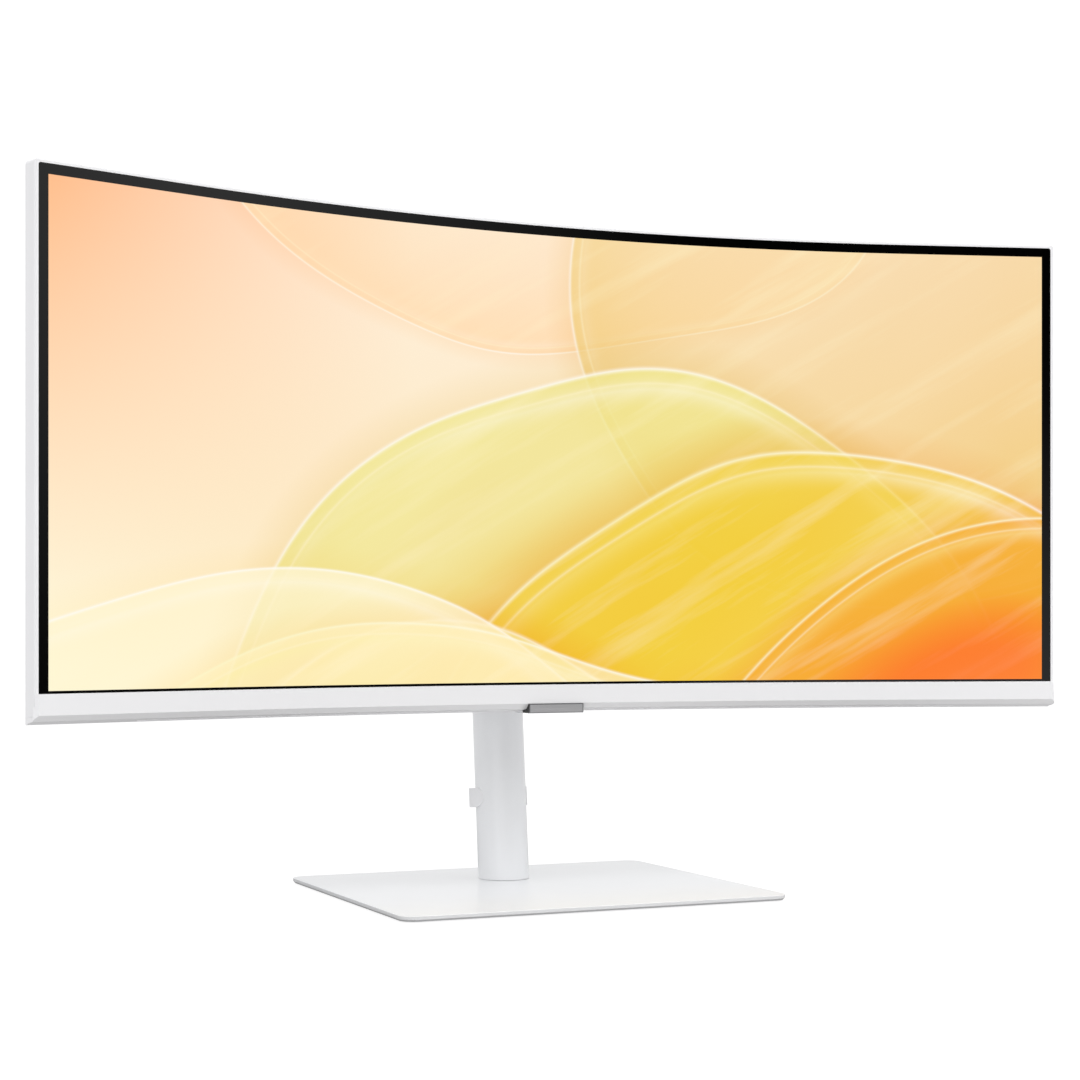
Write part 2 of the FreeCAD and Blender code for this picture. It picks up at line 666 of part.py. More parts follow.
def badge_plate():
    front = -CHIN_PROUD - BADGE_PROUD
    return curved_slab(BADGE_HALF, (front, front + BADGE_SKIN), BADGE_LOW, BADGE_TOP)


# ---- display: inside the back -----------------------------------------------
def board_chassis():
    plate = box(-PLATE_HALF, PLATE_HALF, PLATE_Y - PLATE_T, PLATE_Y, PLATE_LOW, PLATE_HIGH)
    feet = [box(x - FOOT_HALF, x + FOOT_HALF, -FAR / 4, PLATE_Y, z - FOOT_HALF, z + FOOT_HALF)
            for x in (-FOOT_X, FOOT_X) for z in FOOT_ROWS]
    plate = fused([plate] + feet).cut(in_front_of(CHASSIS_BACK))
    holes = [disc_y(x, z, BRACKET_SCREW[2], -FAR, FAR) for x, z in BRACKET_SCREW_XZ]
    return plate.cut(group(holes))


def cover_standoffs():
    """Posts for the cover's screws: the upper pair on the plate, the lower pair on the tray."""
    posts = []
    for x, z in COVER_SCREW_XZ:
        front = PLATE_Y if z > PLATE_LOW else STANDOFF_FRONT
        post = disc_y(x, z, STANDOFF_R, front, REAR_Y - WALL)
        post = post.cut(disc_y(x, z, STANDOFF_BORE, REAR_Y - STANDOFF_BORE_DEEP, REAR_Y))
        posts.append(post.cut(in_front_of(CHASSIS_BACK)))
    return group(posts)


def circuit_board(side):
    outline = [V(side * x, BOARD_BACK - BOARD_T, z) for x, z in BOARD_OUTLINE]
    return prism(outline, V(0, BOARD_T, 0))


def main_board():
    chips = [box(x0, x1, BOARD_BACK, BOARD_BACK + tall, z0, z1) for x0, x1, z0, z1, tall in MAIN_CHIPS]
    return fused([circuit_board(-1)] + chips)


def heat_sink():
    top = BOARD_BACK + SINK_LOW + SINK_BASE
    base = box(*SINK_X, BOARD_BACK + SINK_LOW, top, *SINK_Z)
    starts = [SINK_X[0] + FIN_PITCH * k for k in range(FIN_COUNT)]
    return fused([base] + [box(x, x + FIN_T, top, BOARD_BACK + SINK_HIGH, *SINK_Z) for x in starts])


def power_board():
    return circuit_board(1)


def power_parts():
    """Transformer and capacitors on the power board."""
    low, high = WINDING_H
    core = box(*CORE_X, BOARD_BACK, BOARD_BACK + CORE_H, *CORE_Z)
    winding = box(*WINDING_X, BOARD_BACK + low, BOARD_BACK + high, *WINDING_Z)
    cans = [disc_y(x, z, r, BOARD_BACK, BOARD_BACK + tall) for x, z, r, tall in POWER_CANS]
    return group([fused([core, winding])] + cans)


def timing_board():
    back = TIMING_BOX[3]
    chips = [box(x0, x1, back, back + tall, z0, z1) for x0, x1, z0, z1, tall in TIMING_CHIPS]
    return fused([box(*TIMING_BOX)] + chips)


def speakers():
    return group([curved_bar(s - SPEAKER_HALF, s + SPEAKER_HALF, SPEAKER_DEPTHS, SPEAKER_LOW, SPEAKER_HIGH)
                  for s in (-SPEAKER_S, SPEAKER_S)])


# ---- display: stand mount ---------------------------------------------------
def vesa_points():
    return [(x, TILT_Z + z) for x in (-VESA / 2, VESA / 2) for z in (-VESA / 2, VESA / 2)]


def vesa_bracket():
    """Bent steel bridge that carries the stand disc and the four tapped bushes."""
    heights = (BRACKET_LOW, BRACKET_HIGH)
    plate = box(-BRACKET_HALF, BRACKET_HALF, BRACKET_BACK - BRACKET_T, BRACKET_BACK, *heights)
    legs = [box(x, x + BRACKET_T, PLATE_Y, BRACKET_BACK, *heights)
            for x in (-BRACKET_HALF, BRACKET_HALF - BRACKET_T)]
    feet = [box(x - FOOT_HALF, x + FOOT_HALF, PLATE_Y, PLATE_Y + BRACKET_T, *BRACKET_FOOT_Z)
            for x in (-BRACKET_FOOT_X, BRACKET_FOOT_X)]
    notch_half, notch_top = BRACKET_NOTCH
    bridge = fused([plate] + legs + feet).cut(box(-notch_half, notch_half, 0, FAR, 0, notch_top))
    holes = [bore_y(x, z, VESA_HOLE_R) for x, z in vesa_points()]
    holes += [disc_y(x, z, BRACKET_SCREW[2], -FAR, 0) for x, z in BRACKET_SCREW_XZ]
    return bridge.cut(group(holes))


def vesa_bushes():
    return group([disc_y(x, z, VESA_BUSH_R, BRACKET_BACK, REAR_Y - 0.2).cut(bore_y(x, z, VESA_HOLE_R))
                  for x, z in vesa_points()])


def bracket_screws():
    return group([pan_screw_y(x, z, BRACKET_SCREW, PLATE_Y + BRACKET_T) for x, z in BRACKET_SCREW_XZ])


def latch_slot():
    return box(-LATCH_SLOT_HALF, LATCH_SLOT_HALF, 0, FAR, LATCH_SLOT_LOW, LATCH_TOP + OVER)


def stand_disc():
    """Quick-release disc with the two ears that turn on the tilt shaft."""
    pieces = [disc_y(0, TILT_Z, DISC_R, BRACKET_BACK, DISC_BACK)]
    outline = [(DISC_BACK, -EAR_ROOT), (TILT_Y, -EAR_R), (TILT_Y, EAR_R), (DISC_BACK, EAR_ROOT)]
    for x0 in (-EAR_OUT, EAR_IN):
        x1 = x0 + EAR_OUT - EAR_IN
        pieces.append(prism([V(x0, y, TILT_Z + z) for y, z in outline], V(x1 - x0, 0, 0)))
        pieces.append(disc_x(TILT_Y, TILT_Z, EAR_R, x0, x1))
    return fused(pieces).cut(bore_x(TILT_Y, TILT_Z, SHAFT_R + RUN_GAP)).cut(latch_slot())


def disc_cover():
    """White trim over the disc, open around the ears."""
    back = DISC_BACK + DISC_TRIM_T
    trim = disc_y(0, TILT_Z, DISC_R - OVER, DISC_BACK, back)
    trim = trim.makeChamfer(DISC_TRIM_BEVEL, edges_beyond(trim, BACK, back - NEAR))
    dx, dz = EAR_WINDOW
    return trim.cut(box(-dx, dx, 0, FAR, TILT_Z - dz, TILT_Z + dz)).cut(latch_slot())


def release_button():
    """Push button moulded with the hook that holds the stand disc."""
    back = REAR_Y + BUTTON_PROUD
    cap = box(-BUTTON_HALF, BUTTON_HALF, REAR_Y - BUTTON_DEEP, back, BUTTON_LOW, BUTTON_HIGH)
    cap = cap.makeFillet(BUTTON_R, edges_beyond(cap, BACK, back - NEAR))
    return cap.fuse(box(-LATCH_HALF, LATCH_HALF, *LATCH_Y, BUTTON_HIGH - OVER, LATCH_TOP))


# ---- display: connectors ----------------------------------------------------
def port_places():
    """(x0, width, thickness, height) of each connector, side by side along the bay."""
    places = {}
    x = -BAY_HALF + 6
    for name, sizes in PORT_SIZES.items():
        places[name] = []
        for width, thick, height in sizes:
            places[name].append((x, width, thick, height))
            x += width + PORT_GAP
    return places


def socket(x0, width, thick, height):
    """Metal shell open at the bottom, with a tongue inside."""
    y0, z0 = BOARD_BACK + PORT_LIFT, PORT_MOUTH
    end = z0 + height - SHELL_END
    shell = box(x0, x0 + width, y0, y0 + thick, z0, z0 + height)
    hollow = box(x0 + SHELL_T, x0 + width - SHELL_T, y0 + SHELL_T, y0 + thick - SHELL_T, z0 - OVER, end)
    tongue_y = y0 + (thick - TONGUE_T) / 2
    tongue = box(x0 + TONGUE_INSET, x0 + width - TONGUE_INSET, tongue_y, tongue_y + TONGUE_T, z0 + 1, end)
    return shell.cut(hollow).fuse(tongue)


def lan_port(x0, width, thick, height):
    y0, z0 = BOARD_BACK + PORT_LIFT, PORT_MOUTH
    side, front, back, end = LAN_WALL
    inset, key_front, key_end = LAN_KEY
    shell = box(x0, x0 + width, y0, y0 + thick, z0, z0 + height)
    hollow = box(x0 + side, x0 + width - side, y0 + front, y0 + thick - back, z0 - OVER, z0 + height - end)
    key = box(x0 + inset, x0 + width - inset, y0 + key_front, y0 + front, z0 - OVER, z0 + height - key_end)
    return shell.cut(hollow).cut(key)


def audio_jack(x0, width, thick, height):
    y0, z0 = BOARD_BACK + PORT_LIFT, PORT_MOUTH
    collar_r, bore, collar_t = JACK_COLLAR
    middle = (x0 + width / 2, y0 + thick / 2)
    body = box(x0, x0 + width, y0, y0 + thick, z0 + collar_t, z0 + height)
    body = body.fuse(disc_z(*middle, collar_r, z0, z0 + 2 * collar_t))
    return body.cut(disc_z(*middle, bore, z0 - OVER, z0 + JACK_DEEP))


def port_nodes():
    makers = {"lan_port": lan_port, "audio_jack": audio_jack}
    return {name: group([makers.get(name, socket)(*place) for place in places])
            for name, places in port_places().items()}


def port_panel():
    """Steel plate that closes the bay's roof around the connectors."""
    low = BAY_ROOF + PANEL_LIFT
    panel = box(*PANEL_X, *PANEL_Y, low, low + PANEL_T)
    for places in port_places().values():
        for x0, width, thick, _ in places:
            back = BOARD_BACK + PORT_LIFT + thick + MOUTH
            panel = panel.cut(box(x0 - MOUTH, x0 + width + MOUTH, -FAR, back, low - OVER, low + 2 * PANEL_T))
    return panel


def power_inlet():
    x0, x1 = INLET_X
    y0, y1 = BOARD_BACK + PORT_LIFT, INLET_BACK
    side, end = INLET_WALL
    top = PORT_MOUTH + INLET_DEEP
    body = box(x0, x1, y0, y1, PORT_MOUTH, PORT_MOUTH + INLET_TALL)
    body = body.cut(box(x0 + side, x1 - side, y0 + end, y1 - end, PORT_MOUTH - OVER, top))
    dx, dy = BLADE_HALF
    places = [((x0 + x1) / 2 + x, (y0 + y1) / 2 + y) for x, y in BLADE_PLACES]
    blades = [box(x - dx, x + dx, y - dy, y + dy, PORT_MOUTH + BLADE_LOW, top) for x, y in places]
    return fused([body] + blades)


def lock_plate():
    half_w, half_h, thick = LOCK_PLATE
    dx, dz = LOCK_SLOT
    back = REAR_Y - WALL
    plate = box(LOCK_X - half_w, LOCK_X + half_w, back - thick, back, LOCK_Z - half_h, LOCK_Z + half_h)
    return plate.cut(box(LOCK_X - dx, LOCK_X + dx, 0, FAR, LOCK_Z - dz, LOCK_Z + dz))


# ---- display: joystick ------------------------------------------------------
def jog_disc(r, z0, z1):
    return disc_z(JOG_X, JOG_Y, r, z0, z1)


def jog_ring_z(radii, z0, z1):
    return ring_z(JOG_X, JOG_Y, *radii, z0, z1)


def jog_pin_x(r, reach):
    return disc_x(JOG_Y, JOG_PIVOT_Z, r, JOG_X - reach, JOG_X + reach)


def jog_pin_y(r, reach):
    return disc_y(JOG_X, JOG_PIVOT_Z, r, JOG_Y - reach, JOG_Y + reach)


def jog_housing():
    """Cup of the five-way switch, hung on its small circuit board and bored for the gimbal's pins."""
    top = JOG_PIVOT_Z + CUP_HIGH
    wall = jog_ring_z((CUP_BORE, CUP_R), JOG_PIVOT_Z + CUP_LOW, top)
    lid = jog_disc(CUP_R, top, top + CUP_LID)
    half_w, forward, back, thick = JOG_BOARD
    board = box(JOG_X - half_w, JOG_X + half_w, JOG_Y - forward, JOG_Y + back, top + CUP_LID,
                top + CUP_LID + thick)
    return fused([wall, lid, board]).cut(jog_pin_x(JOG_PIN_BORE, CUP_R + OVER))


def jog_ring():
    """Gimbal ring: its own pins turn in the cup, its bores hold the stem's pins."""
    ring = jog_ring_z(GIMBAL_R, JOG_PIVOT_Z - GIMBAL_HALF, JOG_PIVOT_Z + GIMBAL_HALF)
    pins = jog_pin_x(JOG_PIN_R, GIMBAL_PIN_REACH).cut(jog_disc(GIMBAL_R[0], 0, FAR))
    return fused([ring, pins]).cut(jog_pin_y(JOG_PIN_BORE, GIMBAL_R[1] + OVER))


def jog_stem():
    ball = Part.makeSphere(BALL_R, V(JOG_X, JOG_Y, JOG_PIVOT_Z))
    rod = jog_disc(STEM_R, JOG_PIVOT_Z - STEM_LOW, JOG_PIVOT_Z - 1)
    return fused([ball, rod, jog_pin_y(JOG_PIN_R, BALL_PIN_REACH)])


def jog_knob():
    cap = jog_disc(JOG_R, JOG_LOW, KNOB_TOP)
    rim = edges_at(cap, [V(JOG_X, JOG_Y, JOG_LOW)], NEAR)
    return cap.makeFillet(JOG_EDGE_R, rim).fuse(jog_ring_z(SLEEVE_R, KNOB_TOP, SLEEVE_TOP))


# ---- height slider and tilt hinge -------------------------------------------
def mast():
    return leaned(column_ring(MAST_BORE, MAST_R, MAST_LOW, MAST_TOP))


def mast_bush():
    return leaned(column_ring(MAST_R, TUBE_BORE - RUN_GAP, MAST_LOW, MAST_LOW + MAST_BUSH))


def hinge_head():
    """Casting clamped on the mast, with a lug that holds the tilt shaft."""
    axis_y, axis_z = upright(TILT_Y, TILT_Z)
    clamp = column_disc(HEAD_R, HEAD_LOW + HEAD_LIFT, HEAD_TOP)
    lug = box(-LUG_HALF, LUG_HALF, axis_y, COLUMN_Y - 10, axis_z - EAR_R, axis_z + EAR_R)
    nose = disc_x(axis_y, axis_z, EAR_R, -LUG_HALF, LUG_HALF)
    head = fused([clamp, lug, nose]).cut(column_disc(MAST_R, 0, MAST_TOP))
    return leaned(head.cut(bore_x(axis_y, axis_z, SHAFT_R)))


def head_cover():
    """White cap over the head, open in front for the lug."""
    axis_z = upright(TILT_Y, TILT_Z)[1]
    top = HEAD_TOP + CAP_T
    shell = column_disc(CAP_R, HEAD_LOW, top)
    shell = shell.makeFillet(CAP_EDGE_R, edges_beyond(shell, UP, top - NEAR))
    shell = shell.cut(column_disc(HEAD_R + CAP_GAP, 0, HEAD_TOP + CAP_GAP))
    half, reach = LUG_HALF + LUG_PLAY, EAR_R + LUG_PLAY
    return leaned(shell.cut(box(-half, half, 0, COLUMN_Y - 8, axis_z - reach, axis_z + reach)))


def tilt_shaft():
    return disc_x(TILT_Y, TILT_Z, SHAFT_R, -SHAFT_HALF, SHAFT_HALF)


def tilt_washers():
    r, thick = HINGE_WASHER
    inner = EAR_IN - HINGE_GAP - thick
    return group([disc_x(TILT_Y, TILT_Z, r, x, x + thick).cut(bore_x(TILT_Y, TILT_Z, SHAFT_R))
                  for x in (-inner - thick, inner)])


def tilt_nuts():
    across, thick = HINGE_NUT
    outline = [(TILT_Y + u, TILT_Z + v) for u, v in hexagon(across)]
    return group([prism([V(x, y, z) for y, z in outline], V(thick, 0, 0)).cut(bore_x(TILT_Y, TILT_Z, SHAFT_R))
                  for x in (-EAR_OUT - NUT_GAP - thick, EAR_OUT + NUT_GAP)])


def gas_rod():
    """Piston rod with the welded plate that lifts the mast."""
    low, high = ROD_Z
    return leaned(column_disc(ROD_R, low, high).fuse(column_disc(MAST_BORE, high - ROD_PLATE, high)))


def gas_piston():
    return leaned(column_ring(ROD_R, PISTON_R, *PISTON_Z))


# ---- column -----------------------------------------------------------------
def column_tube():
    """Leaning tube with its foot cut level, a hairline above the base plate."""
    tube = leaned(column_ring(TUBE_BORE, TUBE_R, -TUBE_R, TUBE_TOP))
    return tube.cut(box(-FAR, FAR, -FAR, FAR, -FAR, TUBE_LOW))


def top_collar():
    sleeve = column_ring(MAST_R + RUN_GAP, TUBE_BORE, TUBE_TOP - COLLAR_SLEEVE, TUBE_TOP)
    lip = column_ring(MAST_R + RUN_GAP, TUBE_R - COLLAR_INSET, TUBE_TOP, TUBE_TOP + COLLAR_LIP)
    return leaned(fused([sleeve, lip]))


def foot_bush():
    """Bearing block: its outside fits the leaning tube, its bore is upright on the post."""
    return leaned(column_disc(TUBE_BORE, 0, SEAT_Z[0])).common(column_ring(POST_R + RUN_GAP, FAR, *BUSH_Z))


def spring_seat():
    return leaned(column_disc(TUBE_BORE, *SEAT_Z))


def gas_cylinder():
    bore, outside = SPRING_R
    low = SEAT_Z[1]
    tube = column_ring(bore, outside, low, SPRING_TOP)
    base = column_disc(bore, low, low + SPRING_BASE)
    neck = column_ring(ROD_R + RUN_GAP, bore, SPRING_TOP - SPRING_NECK, SPRING_TOP)
    return leaned(fused([tube, base, neck]))


def cable_clip():
    """Spring clip with round tips that hug the tube and an open loop behind it."""
    hug = disc_z(0, COLUMN_Y + CLIP_SHIFT, CLIP_R, CLIP_LOW, CLIP_HIGH)
    loop_y = COLUMN_Y + LOOP_SHIFT
    clip = fused([hug, disc_z(0, loop_y, LOOP_R, CLIP_LOW, CLIP_HIGH)]).cut(column_disc(TUBE_R, 0, FAR))
    clip = clip.cut(disc_z(0, loop_y, LOOP_BORE, 0, FAR))
    clip = clip.cut(box(-LOOP_MOUTH_HALF, LOOP_MOUTH_HALF, loop_y, FAR, 0, FAR))
    tip_y = COLUMN_Y - TUBE_R * math.sin(math.radians(CLIP_TIP_ANGLE))
    outline = box(-2 * TUBE_R, 2 * TUBE_R, tip_y, loop_y + LOOP_R, CLIP_LOW, CLIP_HIGH)
    tips = edges_at(outline, [V(0, tip_y, CLIP_LOW), V(0, tip_y, CLIP_HIGH)], NEAR)
    return leaned(clip.common(outline.makeFillet(CLIP_TIP_R, tips)))


# ---- base -------------------------------------------------------------------
def base_plate():
    plate = box(-BASE_W / 2, BASE_W / 2, -BASE_D / 2, BASE_D / 2, BASE_LOW, BASE_TOP)
    uprights = [e for e in plate.Edges if BASE_LOW + NEAR < e.CenterOfMass.z < BASE_TOP - NEAR]
    plate = plate.makeFillet(BASE_CORNER_R, uprights)
    plate = plate.makeChamfer(BASE_TOP_BEVEL, edges_beyond(plate, UP, BASE_TOP - NEAR))
    plate = plate.makeChamfer(BASE_LOW_BEVEL, edges_beyond(plate, -UP, -BASE_LOW - NEAR))
    plate = plate.fuse(column_disc(POST_FLANGE_R, BASE_LOW, BOSS_TOP)).removeSplitter()
    plate = plate.cut(column_disc(RECESS_R, 0, RECESS_TOP)).cut(column_disc(SCREW_HOLE_R, 0, FAR))
    for side in (-1, 1):
        plate = plate.cut(disc_z(side * POST_PIN_X, COLUMN_Y, POST_PIN_R, 0, FAR))
    return plate


def base_feet():
    half_x, half_y = PAD_HALF
    pads = []
    for x in PAD_X:
        for y in PAD_Y:
            pad = box(x - half_x, x + half_x, y - half_y, y + half_y, 0, BASE_LOW)
            uprights = [e for e in pad.Edges if NEAR < e.CenterOfMass.z < BASE_LOW - NEAR]
            pads.append(pad.makeFillet(PAD_R, uprights))
    return group(pads)


def swivel_post():
    """Post that the column turns on, keyed to the plate by two pins."""
    post = column_disc(POST_R, BOSS_TOP, POST_TOP)
    flange = column_disc(POST_FLANGE_R, BOSS_TOP, BOSS_TOP + POST_FLANGE_T)
    pins = [disc_z(side * POST_PIN_X, COLUMN_Y, POST_PIN_R, POST_PIN_LOW, BOSS_TOP + 1) for side in (-1, 1)]
    return fused([post, flange] + pins).cut(column_disc(POST_BORE, 0, POST_BORE_TOP))


def swivel_washers():
    return group([column_ring(POST_R, r, z0, z1) for r, z0, z1 in WASHERS])


def swivel_nut():
    low, high = NUT_Z
    outline = [V(u, COLUMN_Y + v, low) for u, v in hexagon(NUT_ACROSS)]
    return prism(outline, V(0, 0, high - low)).cut(column_disc(POST_R, 0, FAR))


def base_screw():
    low, high = SCREW_HEAD_Z
    head = column_disc(SCREW_HEAD_R, low, high)
    shank = column_disc(SCREW_SHANK_R, high - NEAR, SCREW_TOP)
    dx, dy = KNUCKLE_HALF
    knuckle = box(-dx, dx, COLUMN_Y - dy, COLUMN_Y + dy, KNUCKLE_LOW, low + NEAR)
    return fused([head, shank, knuckle]).cut(bore_x(COLUMN_Y, BAIL_Z, BAIL_BORE))


def screw_bail():
    """Wire D-ring folded flat under the screw's head."""
    start, end = V(-BAIL_R, COLUMN_Y, BAIL_Z), V(BAIL_R, COLUMN_Y, BAIL_Z)
    bow = Part.Arc(start, V(0, COLUMN_Y - BAIL_R, BAIL_Z), end).toShape()
    wire = Part.Wire([Part.makeCircle(BAIL_WIRE_R, start, BACK)])
    ring = Part.Wire([bow]).makePipeShell([wire], True, True)
    pin = disc_x(COLUMN_Y, BAIL_Z, BAIL_WIRE_R, -BAIL_R, BAIL_R)
    return fused([ring, pin] + [Part.makeSphere(BAIL_WIRE_R, point) for point in (start, end)])


# ---- export -----------------------------------------------------------------
MAKERS = [
    base_plate, base_feet, swivel_post, swivel_washers, swivel_nut, base_screw, screw_bail,
    column_tube, top_collar, foot_bush, spring_seat, gas_cylinder, cable_clip,
    mast, mast_bush, gas_rod, gas_piston, hinge_head, head_cover, tilt_shaft, tilt_washers, tilt_nuts,
    stand_disc, disc_cover, vesa_bracket, vesa_bushes, bracket_screws, front_frame, chin, badge_block,
    badge_plate, rear_cover, cover_screws, cover_standoffs, lcd_cell, optical_sheets, light_guide,
    reflector_sheet, led_bar, back_chassis, source_boards, timing_board, board_chassis, main_board,
    heat_sink, power_board, power_parts, speakers, port_panel, power_inlet, lock_plate, release_button,
    jog_housing, jog_ring, jog_stem, jog_knob,
]

os.makedirs("parts", exist_ok=True)
shapes = {make.__name__: make() for make in MAKERS}
shapes.update(port_nodes())
for name, shape in shapes.items():
    shape.exportStep("parts/" + name + ".step")
    print(name, len(shape.Solids), shape.isValid(), round(shape.Volume))
print(len(shapes), "nodes")
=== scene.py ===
import json
import math

import bmesh
import bpy
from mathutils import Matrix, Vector


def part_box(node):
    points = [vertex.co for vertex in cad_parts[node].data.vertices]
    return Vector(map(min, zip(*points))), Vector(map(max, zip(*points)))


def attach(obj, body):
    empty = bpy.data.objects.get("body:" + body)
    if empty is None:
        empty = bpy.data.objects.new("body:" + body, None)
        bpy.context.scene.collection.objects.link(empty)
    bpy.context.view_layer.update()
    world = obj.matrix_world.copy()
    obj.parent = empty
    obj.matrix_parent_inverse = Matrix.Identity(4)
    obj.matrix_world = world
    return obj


# Looks of the curved white monitor: metres, the CAD model's own frame, viewer at -Y.

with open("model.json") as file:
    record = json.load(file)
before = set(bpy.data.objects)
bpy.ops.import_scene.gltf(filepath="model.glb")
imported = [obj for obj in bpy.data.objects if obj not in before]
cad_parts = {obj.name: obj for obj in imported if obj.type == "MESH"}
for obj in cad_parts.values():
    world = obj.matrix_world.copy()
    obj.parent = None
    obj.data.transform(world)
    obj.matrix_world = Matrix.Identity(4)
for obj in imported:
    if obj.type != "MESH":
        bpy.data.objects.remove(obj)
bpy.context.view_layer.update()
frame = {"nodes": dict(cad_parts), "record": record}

# ---- sizes shared with the CAD model ------------------------------------------
SCREEN_R = 1.0               # curve of the screen's middle
ARC_HALF = 0.285             # half length of that middle; the ends run on straight
BORDER_TOP = 0.0069
PICTURE_H = 0.3337
CELL_T = 0.0014
CELL_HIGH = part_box("lcd_cell")[1]
SCREEN_Y = CELL_HIGH[1] - CELL_T
PICTURE_TOP = CELL_HIGH[2] - BORDER_TOP
PICTURE_SHORT = 0.0002        # the film ends this far above the lit area's lower edge
PICTURE_LOW = PICTURE_TOP - PICTURE_H + PICTURE_SHORT
PICTURE_HALF = 0.3986
FILM_LIFT = 0.00025          # the lit film lies this far in front of the glass


def on_curve(s, depth, z):
    """Point at length s along the screen's face, moved back by depth."""
    turn = max(-ARC_HALF, min(ARC_HALF, s)) / SCREEN_R
    straight = s - turn * SCREEN_R
    x = (SCREEN_R + depth) * math.sin(turn) + straight * math.cos(turn)
    y = SCREEN_Y - SCREEN_R + (SCREEN_R + depth) * math.cos(turn) - straight * math.sin(turn)
    return Vector((x, y, z))


# ---- shader writing -------------------------------------------------------------
class Shader:
    """A new material's nodes, with a short call for each kind used here."""

    def __init__(self, name):
        self.material = bpy.data.materials.new(name)
        self.material.use_nodes = True
        self.nodes = self.material.node_tree.nodes
        self.links = self.material.node_tree.links
        self.surface = self.nodes["Principled BSDF"]

    def feed(self, socket, value):
        if isinstance(value, bpy.types.NodeSocket):
            self.links.new(value, socket)
        else:
            socket.default_value = value

    def set(self, **values):
        for name, value in values.items():
            self.feed(self.surface.inputs[name.replace("_", " ")], value)

    def place(self, kind="Object"):
        return self.nodes.new("ShaderNodeTexCoord").outputs[kind]

    def stretched(self, vector, scale):
        node = self.nodes.new("ShaderNodeMapping")
        self.feed(node.inputs["Vector"], vector)
        node.inputs["Scale"].default_value = scale
        return node.outputs["Vector"]

    def noise(self, vector, scale, detail=3.0, rough=0.5):
        node = self.nodes.new("ShaderNodeTexNoise")
        self.feed(node.inputs["Vector"], vector)
        node.inputs["Scale"].default_value = scale
        node.inputs["Detail"].default_value = detail
        node.inputs["Roughness"].default_value = rough
        return node.outputs["Fac"]

    def cells(self, vector, scale):
        node = self.nodes.new("ShaderNodeTexVoronoi")
        self.feed(node.inputs["Vector"], vector)
        node.inputs["Scale"].default_value = scale
        return node.outputs["Distance"]

    def span(self, value, low, high, to_low=0.0, to_high=1.0):
        node = self.nodes.new("ShaderNodeMapRange")
        self.feed(node.inputs["Value"], value)
        for name, number in zip(("From Min", "From Max", "To Min", "To Max"), (low, high, to_low, to_high)):
            node.inputs[name].default_value = number
        return node.outputs["Result"]

    def math(self, operation, a, b=0.0):
        node = self.nodes.new("ShaderNodeMath")
        node.operation = operation
        self.feed(node.inputs[0], a)
        self.feed(node.inputs[1], b)
        return node.outputs[0]

    def mix(self, factor, a, b, blend="MIX"):
        node = self.nodes.new("ShaderNodeMix")
        node.data_type = "RGBA"
        node.blend_type = blend
        for name, value in zip(("Factor", "A", "B"), (factor, a, b)):
            socket = next(s for s in node.inputs if s.enabled and s.name == name)
            self.feed(socket, value)
        return next(s for s in node.outputs if s.enabled)

    def bump(self, height, distance, strength=1.0, normal=None):
        node = self.nodes.new("ShaderNodeBump")
        self.feed(node.inputs["Height"], height)
        node.inputs["Distance"].default_value = distance
        node.inputs["Strength"].default_value = strength
        if normal is not None:
            self.feed(node.inputs["Normal"], normal)
        return node.outputs["Normal"]


def rgb(r, g, b):
    """Linear colour from 0-255 display values."""
    linear = [(c / 255 / 12.92) if c <= 10.3 else ((c / 255 + 0.055) / 1.055) ** 2.4 for c in (r, g, b)]
    return (*linear, 1.0)


def moulded(name, colour, rough, grain=1400.0, depth=0.00002, shade=0.03):
    """Moulded plastic: fine spark-eroded grain and a faint unevenness of tone and gloss."""
    shader = Shader(name)
    place = shader.place()
    dark = [c * (1 - shade) for c in colour[:3]] + [1.0]
    cloud = shader.noise(place, 22.0, 4.0)
    shader.set(Base_Color=shader.mix(cloud, colour, dark))
    shader.set(Roughness=shader.span(shader.noise(place, 60.0, 1.0), 0.1, 0.9, rough - 0.05, rough + 0.05))
    shader.set(Normal=shader.bump(shader.noise(place, grain, 1.0), depth, 0.15))
    shader.surface.inputs["IOR"].default_value = 1.46
    return shader.material


def coated(name, colour, rough, peel=420.0, depth=0.00001):
    """Powder or wet paint on metal: orange peel under a clear, smoother skin."""
    shader = Shader(name)
    place = shader.place()
    warm = [c * 0.975 for c in colour[:3]] + [1.0]
    shader.set(Base_Color=shader.mix(shader.noise(place, 14.0, 4.0), colour, warm))
    shader.set(Roughness=shader.span(shader.noise(place, 40.0, 0.0), 0.0, 1.0, rough - 0.03, rough + 0.03))
    shader.set(Normal=shader.bump(shader.noise(place, peel, 0.0), depth, 0.1))
    shader.surface.inputs["Coat Weight"].default_value = 0.35
    shader.surface.inputs["Coat Roughness"].default_value = 0.12
    return shader.material


def metal(name, colour, rough, stretch=(1.0, 1.0, 1.0), depth=0.00001):
    """Bare or plated metal with drawn or brushed lines along the unstretched axis."""
    shader = Shader(name)
    lines = shader.noise(shader.stretched(shader.place(), stretch), 700.0, 4.0, 0.6)
    dark = [c * 0.82 for c in colour[:3]] + [1.0]
    shader.set(Base_Color=shader.mix(lines, colour, dark))
    shader.set(Metallic=1.0)
    shader.set(Roughness=shader.span(lines, 0.3, 0.7, rough - 0.07, rough + 0.07))
    shader.set(Normal=shader.bump(lines, depth, 0.4))
    return shader.material


